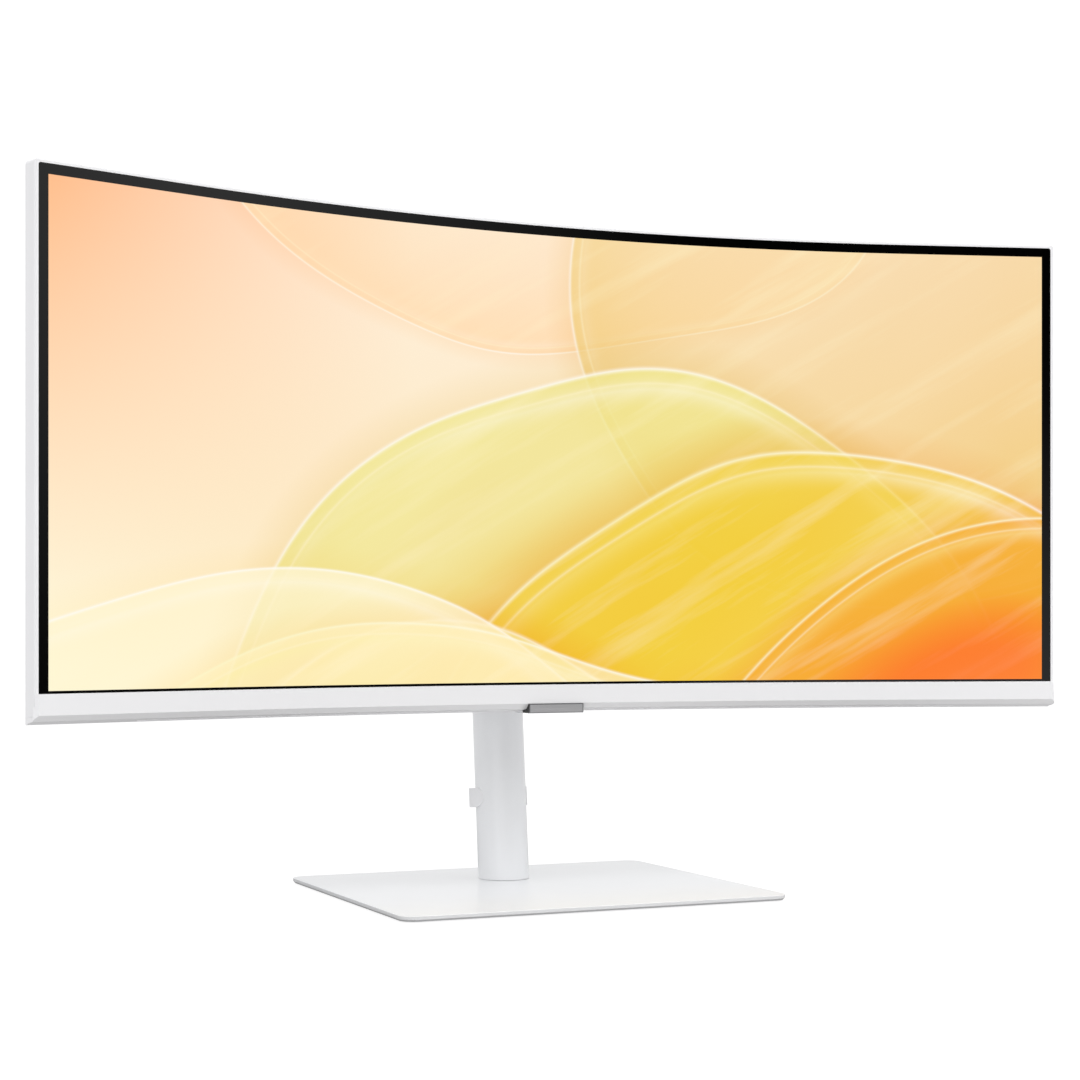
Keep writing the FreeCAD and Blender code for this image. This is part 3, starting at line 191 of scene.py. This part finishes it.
def circuit(name):
    """Solder mask over copper tracks, with tinned pads."""
    shader = Shader(name)
    place = shader.place()
    tracks = shader.span(shader.cells(shader.stretched(place, (1.0, 1.0, 2.2)), 260.0), 0.30, 0.36)
    pads = shader.span(shader.cells(place, 420.0), 0.16, 0.12)
    green = shader.mix(tracks, rgb(16, 70, 44), rgb(24, 96, 60))
    shader.set(Base_Color=shader.mix(pads, green, rgb(196, 192, 176)))
    shader.set(Metallic=pads)
    shader.set(Roughness=0.35)
    shader.set(Normal=shader.bump(tracks, 0.00003, 0.5))
    return shader.material


def black_glass(name):
    """Bonded front of the panel around the picture: black ink under a low-glare film."""
    shader = Shader(name)
    place = shader.place()
    shader.set(Base_Color=shader.mix(shader.noise(place, 30.0), rgb(1, 1, 1), rgb(2, 2, 2)))
    shader.set(Roughness=shader.span(shader.noise(place, 900.0, 2.0), 0.3, 0.7, 0.09, 0.13))
    shader.set(Normal=shader.bump(shader.noise(place, 2600.0, 1.0), 0.000004, 0.3))
    return shader.material


# ---- the lit picture -------------------------------------------------------------
PICTURE_ASPECT = 2 * PICTURE_HALF / PICTURE_H

WHITE = rgb(255, 253, 246)
CREAM = rgb(255, 244, 206)
LEMON = rgb(250, 240, 150)

# One translucent hill or disc each: centre and half sizes in picture heights, turn in degrees.
# "low" and "high" tint its lower and upper side, from "thin" in its middle to "thick" at its edge.
VEILS = [
    dict(at=(1.16, 1.30), size=(0.88, 0.56), turn=-8, low=rgb(255, 214, 160), high=rgb(250, 232, 190),
         thin=0.2, thick=0.55, rims=(CREAM, WHITE, CREAM), rim=0.007, shine=0.8, band=0.3),
    dict(at=(1.98, 0.80), size=(0.78, 0.64), turn=-24, low=rgb(240, 206, 110), high=rgb(250, 226, 168),
         thin=0.3, thick=0.7, rims=(WHITE, CREAM, LEMON), rim=0.009, shine=0.8, band=0.6),
    dict(at=(1.34, -0.42), size=(1.02, 1.10), turn=6, low=rgb(232, 206, 70), high=rgb(242, 234, 150),
         thin=0.55, thick=0.8, rims=(WHITE, WHITE, LEMON), rim=0.009, shine=0.9, band=0.6),
    dict(at=(1.40, 0.20), size=(0.70, 0.30), turn=22, low=rgb(246, 190, 20), high=rgb(236, 200, 40),
         thin=0.75, thick=0.0, rims=(LEMON, LEMON, LEMON), rim=0.02, shine=0.0, band=0.0, soft=0.6),
    dict(at=(1.86, -0.62), size=(1.10, 1.12), turn=26, low=rgb(250, 186, 8), high=rgb(246, 216, 60),
         thin=0.85, thick=0.6, rims=(WHITE, LEMON, WHITE), rim=0.009, shine=0.9, band=0.5),
    dict(at=(2.34, -0.54), size=(0.98, 0.86), turn=30, low=rgb(254, 126, 34), high=rgb(248, 172, 48),
         thin=0.95, thick=0.6, rims=(CREAM, LEMON, CREAM), rim=0.009, shine=0.9, band=0.5),
    dict(at=(2.16, -0.04), size=(0.44, 0.18), turn=14, low=rgb(255, 140, 70), high=rgb(255, 104, 24),
         thin=0.75, thick=0.0, rims=(LEMON, LEMON, LEMON), rim=0.02, shine=0.0, band=0.0, soft=0.6),
    dict(at=(0.94, -0.98), size=(0.94, 1.12), turn=-14, low=rgb(250, 206, 60), high=rgb(246, 230, 130),
         thin=0.55, thick=0.8, rims=(CREAM, WHITE, LEMON), rim=0.008, shine=0.9, band=0.5),
    dict(at=(0.30, -0.96), size=(1.55, 1.12), turn=16, low=rgb(255, 238, 190), high=rgb(255, 246, 214),
         thin=0.2, thick=0.75, rims=(CREAM, WHITE, WHITE), rim=0.006, shine=0.9, band=0.35),
    dict(at=(0.62, -1.02), size=(1.60, 1.06), turn=20, low=rgb(255, 222, 130), high=rgb(255, 240, 190),
         thin=0.1, thick=0.65, rims=(CREAM, LEMON, WHITE), rim=0.006, shine=0.9, band=0.4),
]


class Sheet:
    """Works out one translucent shape of the picture over what is below it."""

    def __init__(self, shader, across, up, ring):
        self.shader, self.ring = shader, ring
        turn = math.radians(ring["turn"])
        dx = shader.math("SUBTRACT", across, ring["at"][0])
        dy = shader.math("SUBTRACT", up, ring["at"][1])
        wide, tall = ring["size"]
        self.along = self.turned(dx, math.cos(turn) / wide, dy, math.sin(turn) / wide)
        self.aside = self.turned(dx, -math.sin(turn) / tall, dy, math.cos(turn) / tall)
        square = self.turned(shader.math("MULTIPLY", self.along, self.along), 1.0,
                             shader.math("MULTIPLY", self.aside, self.aside), 1.0)
        self.reach = shader.math("SQRT", square)

    def turned(self, a, a_share, b, b_share):
        shader = self.shader
        return shader.math("ADD", shader.math("MULTIPLY", a, a_share), shader.math("MULTIPLY", b, b_share))

    def peak(self, centre, width):
        """1 where reach equals centre, falling smoothly to 0 at the given distance."""
        shader = self.shader
        off = shader.math("ABSOLUTE", shader.math("SUBTRACT", self.reach, centre))
        near = shader.span(off, width, 0.0)
        return shader.math("MULTIPLY", near, near)

    def over(self, below, streaks, clouds):
        shader, ring = self.shader, self.ring
        soft = ring.get("soft", 0.002)
        inside = shader.span(self.reach, 1.0 + soft, 1.0 - soft)
        drift = shader.math("ADD", self.aside, shader.math("MULTIPLY", clouds, 1.4))
        tone = shader.mix(shader.span(drift, -0.3, 1.7), ring["low"], ring["high"])
        depth = shader.span(shader.math("POWER", self.reach, 3.0), 0.0, 1.0, ring["thin"], ring["thick"])
        tinted = shader.mix(shader.math("MULTIPLY", inside, depth), below, tone)
        deeper = shader.mix(shader.math("MULTIPLY", inside, shader.math("MULTIPLY", depth, 0.2)),
                            tinted, tone, "MULTIPLY")
        if not ring["shine"]:
            return deeper
        shadow = shader.math("MULTIPLY", shader.span(self.reach, 1.0 + 9 * ring["rim"], 1.0), 0.22)
        shadow = shader.math("MULTIPLY", shadow, shader.math("SUBTRACT", 1.0, inside))
        deeper = shader.mix(shadow, deeper, ring["low"], "MULTIPLY")
        glint = shader.math("MULTIPLY", shader.math("MULTIPLY", inside, streaks), 0.34)
        lit = shader.mix(glint, deeper, CREAM)
        rims = ring["rims"]
        first = shader.mix(shader.span(self.along, -0.9, 0.0), rims[0], rims[1])
        edge = shader.mix(shader.span(self.along, 0.1, 0.9), first, rims[2])
        rim = ring["rim"]
        band = shader.math("MULTIPLY", self.peak(1.0 - 4.5 * rim, 4.5 * rim),
                           shader.span(self.along, -0.6, 0.9, 0.15 * ring["band"], ring["band"]))
        lit = shader.mix(shader.math("MULTIPLY", band, inside), lit, edge)
        second = shader.math("MULTIPLY", self.peak(1.0 - 3.2 * rim, 0.8 * rim), 0.5 * ring["shine"])
        lit = shader.mix(second, lit, CREAM)
        swell = shader.span(self.along, -1.0, 1.0, 0.7, 1.0)
        line = shader.math("MULTIPLY", self.peak(1.0, rim), shader.math("MULTIPLY", swell, ring["shine"]))
        return shader.mix(line, lit, shader.mix(0.45, edge, WHITE))


def lit_picture(name):
    """A generic picture of soft overlapping hills in warm colours, glowing from inside the screen."""
    shader = Shader(name)
    node = shader.nodes.new("ShaderNodeSeparateXYZ")
    shader.links.new(shader.place("UV"), node.inputs[0])
    across = shader.math("MULTIPLY", node.outputs["X"], PICTURE_ASPECT)
    up = node.outputs["Y"]
    spot = shader.stretched(shader.place("UV"), (PICTURE_ASPECT, 1.0, 1.0))

    # paper: peach at the top left, cream below it and across
    left = shader.mix(shader.span(up, 0.05, 1.05), rgb(254, 250, 222), rgb(255, 186, 134))
    middle = shader.mix(shader.span(up, 0.0, 1.0), rgb(252, 232, 186), rgb(254, 238, 218))
    right = shader.mix(shader.span(up, 0.2, 1.0), rgb(244, 206, 130), rgb(248, 218, 182))
    colour = shader.mix(shader.span(across, 0.0, 0.85), left, middle)
    colour = shader.mix(shader.span(across, 1.2, 2.3), colour, right)

    # slow bends, so that no edge is a true oval
    bend = shader.math("MULTIPLY", shader.math("SUBTRACT", shader.noise(spot, 1.1, 0.0), 0.5), 0.26)
    bent_across = shader.math("ADD", across, shader.math("MULTIPLY", bend, 0.6))
    bent_up = shader.math("ADD", up, bend)

    # streaks of light that run up to the right
    flow = shader.nodes.new("ShaderNodeMapping")
    shader.links.new(spot, flow.inputs["Vector"])
    flow.inputs["Rotation"].default_value = (0.0, 0.0, math.radians(-30))
    fine = shader.noise(shader.stretched(flow.outputs["Vector"], (0.8, 9.0, 1.0)), 1.6, 4.0, 0.6)
    streaks = shader.span(fine, 0.50, 0.78)
    clouds = shader.noise(shader.stretched(flow.outputs["Vector"], (1.0, 2.2, 1.0)), 1.7, 1.0)

    for ring in VEILS:
        colour = Sheet(shader, bent_across, bent_up, ring).over(colour, streaks, clouds)
    shader.set(Base_Color=(0.004, 0.004, 0.004, 1.0), Roughness=0.32)
    shader.surface.inputs["Specular IOR Level"].default_value = 0.1
    shader.set(Emission_Color=colour)
    shader.surface.inputs["Emission Strength"].default_value = 1.0
    return shader.material


# ---- mesh writing ----------------------------------------------------------------
def as_object(mesh_data, name, material, body):
    mesh = bpy.data.meshes.new(name)
    mesh_data.to_mesh(mesh)
    mesh_data.free()
    mesh.materials.append(material)
    piece = bpy.data.objects.new(name, mesh)
    bpy.context.scene.collection.objects.link(piece)
    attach(piece, body)
    return piece


def curved_film(s_half, z_low, z_high, depth, columns, rows):
    """Grid that follows the screen's curve, with its picture's coordinates as UVs."""
    mesh_data = bmesh.new()
    uv_layer = mesh_data.loops.layers.uv.new("UVMap")
    grid = []
    for i in range(columns + 1):
        s = s_half * (2 * i / columns - 1)
        grid.append([mesh_data.verts.new(on_curve(s, depth, z_low + (z_high - z_low) * j / rows))
                     for j in range(rows + 1)])
    for i in range(columns):
        for j in range(rows):
            face = mesh_data.faces.new((grid[i][j], grid[i + 1][j], grid[i + 1][j + 1], grid[i][j + 1]))
            corners = ((i, j), (i + 1, j), (i + 1, j + 1), (i, j + 1))
            for loop, (a, b) in zip(face.loops, corners):
                loop[uv_layer].uv = (a / columns, b / rows)
            face.smooth = True
    return mesh_data


def rounded_bars(bars, edge):
    """Bars between pairs of corners, every edge rounded."""
    mesh_data = bmesh.new()
    for low, high in bars:
        middle = [(a + b) / 2 for a, b in zip(low, high)]
        made = bmesh.ops.create_cube(mesh_data, size=1.0)["verts"]
        for vert in made:
            vert.co = Vector([m + c * (b - a) for m, c, a, b in zip(middle, vert.co, low, high)])
        edges = list({e for vert in made for e in vert.link_edges})
        bmesh.ops.bevel(mesh_data, geom=edges, offset=edge, segments=2, affect="EDGES", profile=0.5)
    return mesh_data


# ---- badge rim ----
BADGE_HALF = 0.0221
BADGE_FACE = 0.0042          # the badge stands this far in front of the screen's face
RIM_W = 0.0005
RIM_PROUD = 0.0002
RIM_FOOT = 0.0001            # height of the bead's sides above the badge's face
RIM_SUNK = 0.0002            # how far they reach into it
RIM_COLUMNS = 16


def badge_rim():
    """Dark bead round the badge's face; it follows the chin's curve."""
    mesh_data = bmesh.new()
    low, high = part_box("badge_plate")
    z_low, z_high = low[2], high[2]
    shares = [2 * i / RIM_COLUMNS - 1 for i in range(RIM_COLUMNS + 1)]
    path = [(BADGE_HALF * share, z_low) for share in shares]
    path += [(-BADGE_HALF * share, z_high) for share in shares]
    section = ((0.0, -RIM_SUNK), (0.0, RIM_FOOT), (RIM_W / 2, RIM_PROUD), (RIM_W, RIM_FOOT), (RIM_W, -RIM_SUNK))
    rings = []
    for s, z in path:
        inward_s = -math.copysign(1, s) if abs(s) == BADGE_HALF else 0
        inward_z = 1 if z == z_low else -1
        rings.append([mesh_data.verts.new(on_curve(s + inward_s * inset, -BADGE_FACE - proud, z + inward_z * inset))
                      for inset, proud in section])
    for ring, following in zip(rings, rings[1:] + rings[:1]):
        for k in range(len(section)):
            m = (k + 1) % len(section)
            mesh_data.faces.new((ring[k], following[k], following[m], ring[m]))
    bmesh.ops.recalc_face_normals(mesh_data, faces=mesh_data.faces)
    return mesh_data


# ---- dust screen under the vent slots ----
VENT_FOOT, VENT_TOP = (0.006, 0.455), (-0.034, 0.488)    # (y, z) ends of the housing's sloping top
VENT_UNDER = 0.0032
VENT_CELL = 0.0024
VENT_WIRE = 0.19 * VENT_CELL     # half of what is left between two holes
VENT_T = 0.00025
VENT_COLUMNS, VENT_ROWS = 104, 17


def vent_screen():
    """Fine perforated sheet just under the slots in the housing's sloping top."""
    slope = Vector((0, VENT_TOP[0] - VENT_FOOT[0], VENT_TOP[1] - VENT_FOOT[1])).normalized()
    inward = Vector((0, -slope.z, slope.y)) * VENT_UNDER
    start = Vector((0, *VENT_FOOT)) + inward
    mesh_data = bmesh.new()
    grid = []
    for i in range(VENT_COLUMNS + 1):
        across = Vector((VENT_CELL * (i - VENT_COLUMNS / 2), 0, 0))
        grid.append([mesh_data.verts.new(start + slope * (VENT_CELL * j) + across) for j in range(VENT_ROWS + 1)])
    for i in range(VENT_COLUMNS):
        for j in range(VENT_ROWS):
            mesh_data.faces.new((grid[i][j], grid[i + 1][j], grid[i + 1][j + 1], grid[i][j + 1]))
    holes = list(mesh_data.faces)
    bmesh.ops.inset_individual(mesh_data, faces=holes, thickness=VENT_WIRE)
    bmesh.ops.delete(mesh_data, geom=holes, context="FACES")
    bmesh.ops.solidify(mesh_data, geom=list(mesh_data.faces), thickness=VENT_T)
    return mesh_data


# ---- inside the sockets ----
SOCKETS = ((-0.1160, 0.0132, 0.0058, 4), (-0.0988, 0.0132, 0.0058, 4), (-0.0816, 0.0090, 0.0034, 6),
           (-0.0686, 0.0090, 0.0034, 6), (-0.0556, 0.0170, 0.0052, 8), (-0.0346, 0.0150, 0.0056, 8))
TONGUE_T = 0.0007
TONGUE_SIDES = 0.0052            # width of a socket without contacts, both sides together
CONTACT_HALF = 0.0005
CONTACT_SHARE = 0.33             # at most this share of the pitch either side
CONTACT_DEEP, CONTACT_PROUD = 0.0001, 0.00012
CONTACT_Z = (0.0014, 0.0062)     # above the sockets' mouth
CONTACT_EDGE = 0.00006
WIRE_COUNT = 8
WIRE_PITCH = 0.00102
WIRE_R = 0.00018
WIRE_ROUTE = ((0.0118, 0.0138), (0.0102, 0.0122), (0.0082, 0.0096),
              (0.0066, 0.0064), (0.0060, 0.0040), (0.0056, 0.0030))      # (y, z) in the network socket
WIRE_SIDES = ((1, 0), (0.7, 0.7), (0, 1), (-0.7, 0.7), (-1, 0), (-0.7, -0.7), (0, -1), (0.7, -0.7))
LAMP_W, LAMP_INSET = 0.0030, 0.0021
LAMP_Y = (0.0010, 0.0030)
LAMP_Z = (-0.00015, 0.0006)
LAMP_EDGE = 0.0003


def socket_contacts():
    """Gilded strips on the tongue of each socket: left edge, width, thickness and number of contacts."""
    bars = []
    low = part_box("usb_ports")[0]
    z_low, z_high = (low[2] + z for z in CONTACT_Z)
    for left, width, thick, count in SOCKETS:
        back = low[1] + thick / 2 + TONGUE_T / 2
        pitch = (width - TONGUE_SIDES) / count
        half = min(CONTACT_HALF, CONTACT_SHARE * pitch)
        for k in range(count):
            middle = left + width / 2 + pitch * (k - (count - 1) / 2)
            bars.append(((middle - half, back - CONTACT_DEEP, z_low), (middle + half, back + CONTACT_PROUD, z_high)))
    return rounded_bars(bars, CONTACT_EDGE)


def network_wires():
    """Sprung wires that lean out from the network socket's back wall."""
    mesh_data = bmesh.new()
    low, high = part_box("lan_port")
    for k in range(WIRE_COUNT):
        x = (low[0] + high[0]) / 2 + WIRE_PITCH * (k - (WIRE_COUNT - 1) / 2)
        rings = []
        for y, z in WIRE_ROUTE:
            centre = Vector((x, low[1] + y, low[2] + z))
            rings.append([mesh_data.verts.new(centre + Vector((dx * WIRE_R, dy * WIRE_R, 0))) for dx, dy in WIRE_SIDES])
        for ring, following in zip(rings, rings[1:]):
            for m in range(len(WIRE_SIDES)):
                n = (m + 1) % len(WIRE_SIDES)
                mesh_data.faces.new((ring[m], ring[n], following[n], following[m]))
        mesh_data.faces.new(rings[0])
        mesh_data.faces.new(list(reversed(rings[-1])))
    bmesh.ops.recalc_face_normals(mesh_data, faces=mesh_data.faces)
    return mesh_data


def network_lamps():
    """The two small windows beside the network socket's mouth."""
    low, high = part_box("lan_port")
    y_low, y_high = (low[1] + y for y in LAMP_Y)
    z_low, z_high = (low[2] + z for z in LAMP_Z)
    bars = [((x, y_low, z_low), (x + LAMP_W, y_high, z_high))
            for x in (low[0] + LAMP_INSET, high[0] - LAMP_INSET - LAMP_W)]
    return rounded_bars(bars, LAMP_EDGE)


# ---- release button's grip ----
RIB_HALF = 0.0078
RIB_COUNT = 3
RIB_FIRST, RIB_PITCH = 0.0022, 0.0023
RIB_HIGH = 0.0005                # half height
RIB_SUNK, RIB_PROUD = 0.0003, 0.00045
RIB_EDGE = 0.0003


def button_ribs():
    """Grip ribs across the release button."""
    low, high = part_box("release_button")
    rows = [low[2] + RIB_FIRST + RIB_PITCH * k for k in range(RIB_COUNT)]
    bars = [((-RIB_HALF, high[1] - RIB_SUNK, z - RIB_HIGH), (RIB_HALF, high[1] + RIB_PROUD, z + RIB_HIGH))
            for z in rows]
    return rounded_bars(bars, RIB_EDGE)


# ---- materials for the CAD nodes -------------------------------------------------
SLOT_LOOKS = {
    "white_shell": moulded("white_shell_look", rgb(236, 236, 238), 0.42),
    "white_metal": coated("white_metal_look", rgb(236, 237, 239), 0.3),
    "screen_glass": black_glass("black_glass_look"),
    "badge_silver": metal("badge_silver_look", rgb(226, 226, 229), 0.46, (0.04, 1.0, 1.0)),
    "black_plastic": moulded("black_plastic_look", rgb(20, 20, 22), 0.45, 1800.0),
    "grey_plastic": moulded("grey_plastic_look", rgb(206, 206, 209), 0.45),
    "film_white": moulded("film_look", rgb(240, 240, 240), 0.5),
    "clear_guide": moulded("guide_look", rgb(225, 232, 236), 0.15),
    "sheet_metal": metal("sheet_metal_look", rgb(190, 191, 194), 0.36, (1.0, 1.0, 0.05)),
    "plated_steel": metal("plated_steel_look", rgb(178, 180, 184), 0.3, (1.0, 0.1, 1.0)),
    "dark_steel": metal("dark_steel_look", rgb(58, 58, 62), 0.38),
    "bright_steel": metal("bright_steel_look", rgb(205, 206, 208), 0.14),
    "nylon": moulded("nylon_look", rgb(38, 38, 40), 0.5),
    "rubber": moulded("rubber_look", rgb(30, 30, 31), 0.75, 900.0, 0.00005),
    "circuit_green": circuit("circuit_look"),
    "led_yellow": moulded("led_look", rgb(236, 222, 140), 0.25),
}
node_slots = {entry["node"]: entry["material_slot"] for entry in frame["record"]["subparts"]}
for node_name, cad_object in frame["nodes"].items():
    cad_object.data.materials.clear()
    cad_object.data.materials.append(SLOT_LOOKS[node_slots[node_name]])

# ---- added pieces ----------------------------------------------------------------
FILM_COLUMNS, FILM_ROWS = 128, 24
picture_mesh = curved_film(PICTURE_HALF, PICTURE_LOW, PICTURE_TOP, -FILM_LIFT, FILM_COLUMNS, FILM_ROWS)
as_object(picture_mesh, "lit_screen", lit_picture("lit_picture_look"), "display")

gold = metal("gold_look", rgb(222, 184, 96), 0.24)
as_object(badge_rim(), "badge_rim", metal("rim_look", rgb(112, 112, 116), 0.4), "display")
as_object(vent_screen(), "vent_screen", moulded("vent_screen_look", rgb(40, 40, 42), 0.6), "display")
as_object(socket_contacts(), "socket_contacts", gold, "display")
as_object(network_wires(), "network_wires", gold, "display")
lamp_amber = moulded("lamp_look", rgb(232, 190, 90), 0.2)
as_object(network_lamps(), "network_lamps", lamp_amber, "display")
as_object(button_ribs(), "button_ribs", SLOT_LOOKS["grey_plastic"], "release")

# ---- stage, light and camera -----------------------------------------------------
FLOOR_R = 1.15               # the floor is a disc; past it the camera sees the white room
FLOOR_Y = 0.35
FLOOR_GREY = 0.22
FLOOR_GLOW_PAINTED_SHADOW = 0.09        # a light table's own glow as the object gets it, with a painted shadow: dim under the object
FLOOR_LIT_FAR = 0.52         # and brighter further out
FLOOR_SHADOW_FADE = (0.20, 0.60)    # distances from the origin over which the painted shadow fades out and the glow brightens
FLOOR_LIT_SEEN = 0.88        # and as the camera sees it, so the ground stays white
FLOOR_SIDES = 96


def light_table():
    """Round white floor that glows a little, so that shadows on it stay faint; the glow the object gets is a painted
    shadow, dimmer under the object.
    """
    mesh_data = bmesh.new()
    bmesh.ops.create_circle(mesh_data, cap_ends=True, segments=FLOOR_SIDES, radius=FLOOR_R)
    mesh = bpy.data.meshes.new("floor")
    mesh_data.to_mesh(mesh)
    mesh_data.free()
    floor = bpy.data.objects.new("floor", mesh)
    floor.location = (0, FLOOR_Y, 0)
    bpy.context.scene.collection.objects.link(floor)
    shader = Shader("floor_look")
    shader.set(Base_Color=(FLOOR_GREY, FLOOR_GREY, FLOOR_GREY, 1.0), Roughness=0.9)
    shader.surface.inputs["Specular IOR Level"].default_value = 0.0
    shader.surface.inputs["Emission Color"].default_value = (1, 1, 1, 1)
    split = shader.nodes.new("ShaderNodeSeparateXYZ")
    shader.links.new(shader.place(), split.inputs[0])
    y = shader.math("ADD", split.outputs["Y"], FLOOR_Y)
    square = shader.math("ADD", shader.math("MULTIPLY", split.outputs["X"], split.outputs["X"]),
                         shader.math("MULTIPLY", y, y))
    # painted shadow: the glow falls off towards the object, so less light comes up under it
    glow = shader.span(shader.math("SQRT", square), *FLOOR_SHADOW_FADE, FLOOR_GLOW_PAINTED_SHADOW, FLOOR_LIT_FAR)
    seen = shader.nodes.new("ShaderNodeLightPath").outputs["Is Camera Ray"]
    glow = shader.math("MAXIMUM", glow, shader.math("MULTIPLY", seen, FLOOR_LIT_SEEN))
    shader.set(Emission_Strength=glow)
    mesh.materials.append(shader.material)


ROOM_SEEN = 1.1              # what the camera sees of the room, whatever the object gets


def soft_light(name, place, aim, size, power, mirrored):
    lamp = bpy.data.lights.new(name, "AREA")
    lamp.shape = "RECTANGLE"
    lamp.size, lamp.size_y = size
    lamp.energy = power
    holder = bpy.data.objects.new(name, lamp)
    holder.location = place
    holder.rotation_euler = (Vector(aim) - Vector(place)).to_track_quat("-Z", "Y").to_euler()
    holder.visible_camera = False
    holder.visible_glossy = mirrored
    bpy.context.scene.collection.objects.link(holder)


class Room:
    """The white room around the stage: how bright it is in each direction, in degrees.

    Azimuth runs from the front (-Y) towards +X. The camera itself sees plain white."""

    def __init__(self):
        self.world = bpy.data.worlds.new("studio")
        self.world.use_nodes = True
        bpy.context.scene.world = self.world
        self.nodes, self.links = self.world.node_tree.nodes, self.world.node_tree.links
        split = self.nodes.new("ShaderNodeSeparateXYZ")
        self.links.new(self.nodes.new("ShaderNodeTexCoord").outputs["Generated"], split.inputs[0])
        x, y, z = split.outputs
        degrees = math.degrees(1.0)
        self.turn = self.calc("MULTIPLY", self.calc("ARCTAN2", x, self.calc("MULTIPLY", y, -1.0)), degrees)
        self.rise = self.calc("MULTIPLY", self.calc("ARCSINE", z), degrees)

    def calc(self, operation, a, b=0.0):
        node = self.nodes.new("ShaderNodeMath")
        node.operation = operation
        for socket, value in zip(node.inputs, (a, b)):
            if isinstance(value, bpy.types.NodeSocket):
                self.links.new(value, socket)
            else:
                socket.default_value = value
        return node.outputs[0]

    def smooth(self, value, start, end, to_low=0.0, to_high=1.0):
        node = self.nodes.new("ShaderNodeMapRange")
        node.interpolation_type = "SMOOTHSTEP"
        self.links.new(value, node.inputs["Value"])
        for name, number in zip(("From Min", "From Max", "To Min", "To Max"), (start, end, to_low, to_high)):
            node.inputs[name].default_value = number
        return node.outputs["Result"]

    def away(self, turn):
        """Angle from an azimuth, either way."""
        return self.calc("ABSOLUTE", self.calc("SUBTRACT", self.turn, turn))

    def product(self, *parts):
        total = parts[0]
        for part in parts[1:]:
            total = self.calc("MULTIPLY", total, part)
        return total

    def brightest(self, *parts):
        total = parts[0]
        for part in parts[1:]:
            total = self.calc("MAXIMUM", total, part)
        return total

    def finish(self, strength):
        seen = self.nodes.new("ShaderNodeLightPath").outputs["Is Camera Ray"]
        self.links.new(self.calc("MAXIMUM", strength, self.calc("MULTIPLY", seen, ROOM_SEEN)),
                       self.nodes["Background"].inputs["Strength"])
        self.nodes["Background"].inputs["Color"].default_value = (1, 1, 1, 1)


def studio_room():
    """Bright above, behind and at the sides; dim in front, darkest where the screen's border mirrors it."""
    room = Room()
    above = room.smooth(room.rise, 15, 30, 0.0, 1.05)
    sides = room.smooth(room.away(-8), 52, 76, 0.0, 0.88)
    left_front = room.smooth(room.turn, -2, -22, 0.0, 0.75)
    front_right = room.product(room.smooth(room.turn, 12, 52), room.smooth(room.rise, -3, 14), 0.8)
    low_front = room.product(room.smooth(room.away(2), 18, 6), room.smooth(room.rise, 7, -3), 0.7)
    ground = room.smooth(room.rise, -3, -9, 0.0, 0.6)
    room.finish(room.brightest(above, sides, left_front, front_right, low_front, ground))


LAMPS = (
    # name, place, aim, size, watts, shows in mirror reflections
    ("key_light", (-0.9, -2.2, 1.6), (0, 0, 0.3), (1.6, 1.0), 4.0, True),
    ("fill_light", (0.5, -1.5, 2.4), (0, -0.1, 0.2), (1.2, 1.0), 15.5, True),
    ("left_light", (-1.7, -1.7, 0.25), (0, 0, 0.25), (0.6, 0.5), 3.8, False),
    ("right_light", (1.6, -1.8, 0.25), (0, 0, 0.25), (0.6, 0.5), 4.4, False),
    ("low_light", (0.15, -1.3, 0.05), (0, 0, 0.1), (1.6, 0.08), 1.8, False),
)

light_table()
studio_room()
for lamp_facts in LAMPS:
    soft_light(*lamp_facts)

CAMERA_PLACE = (-0.6641, -1.5184, 0.2044)
CAMERA_TURN = 23.85
CAMERA_LENS = 72.09
CAMERA_SHIFT_Y = 0.0788
camera_data = bpy.data.cameras.new("camera")
camera_data.sensor_width = 36.0
camera_data.lens = CAMERA_LENS
camera_data.shift_y = CAMERA_SHIFT_Y
camera_data.clip_start = 0.01
camera = bpy.data.objects.new("camera", camera_data)
camera.location = CAMERA_PLACE
camera.rotation_euler = (math.radians(90), 0, math.radians(-CAMERA_TURN))
bpy.context.scene.collection.objects.link(camera)
bpy.context.scene.camera = camera
bpy.context.scene.view_settings.view_transform = "Standard"
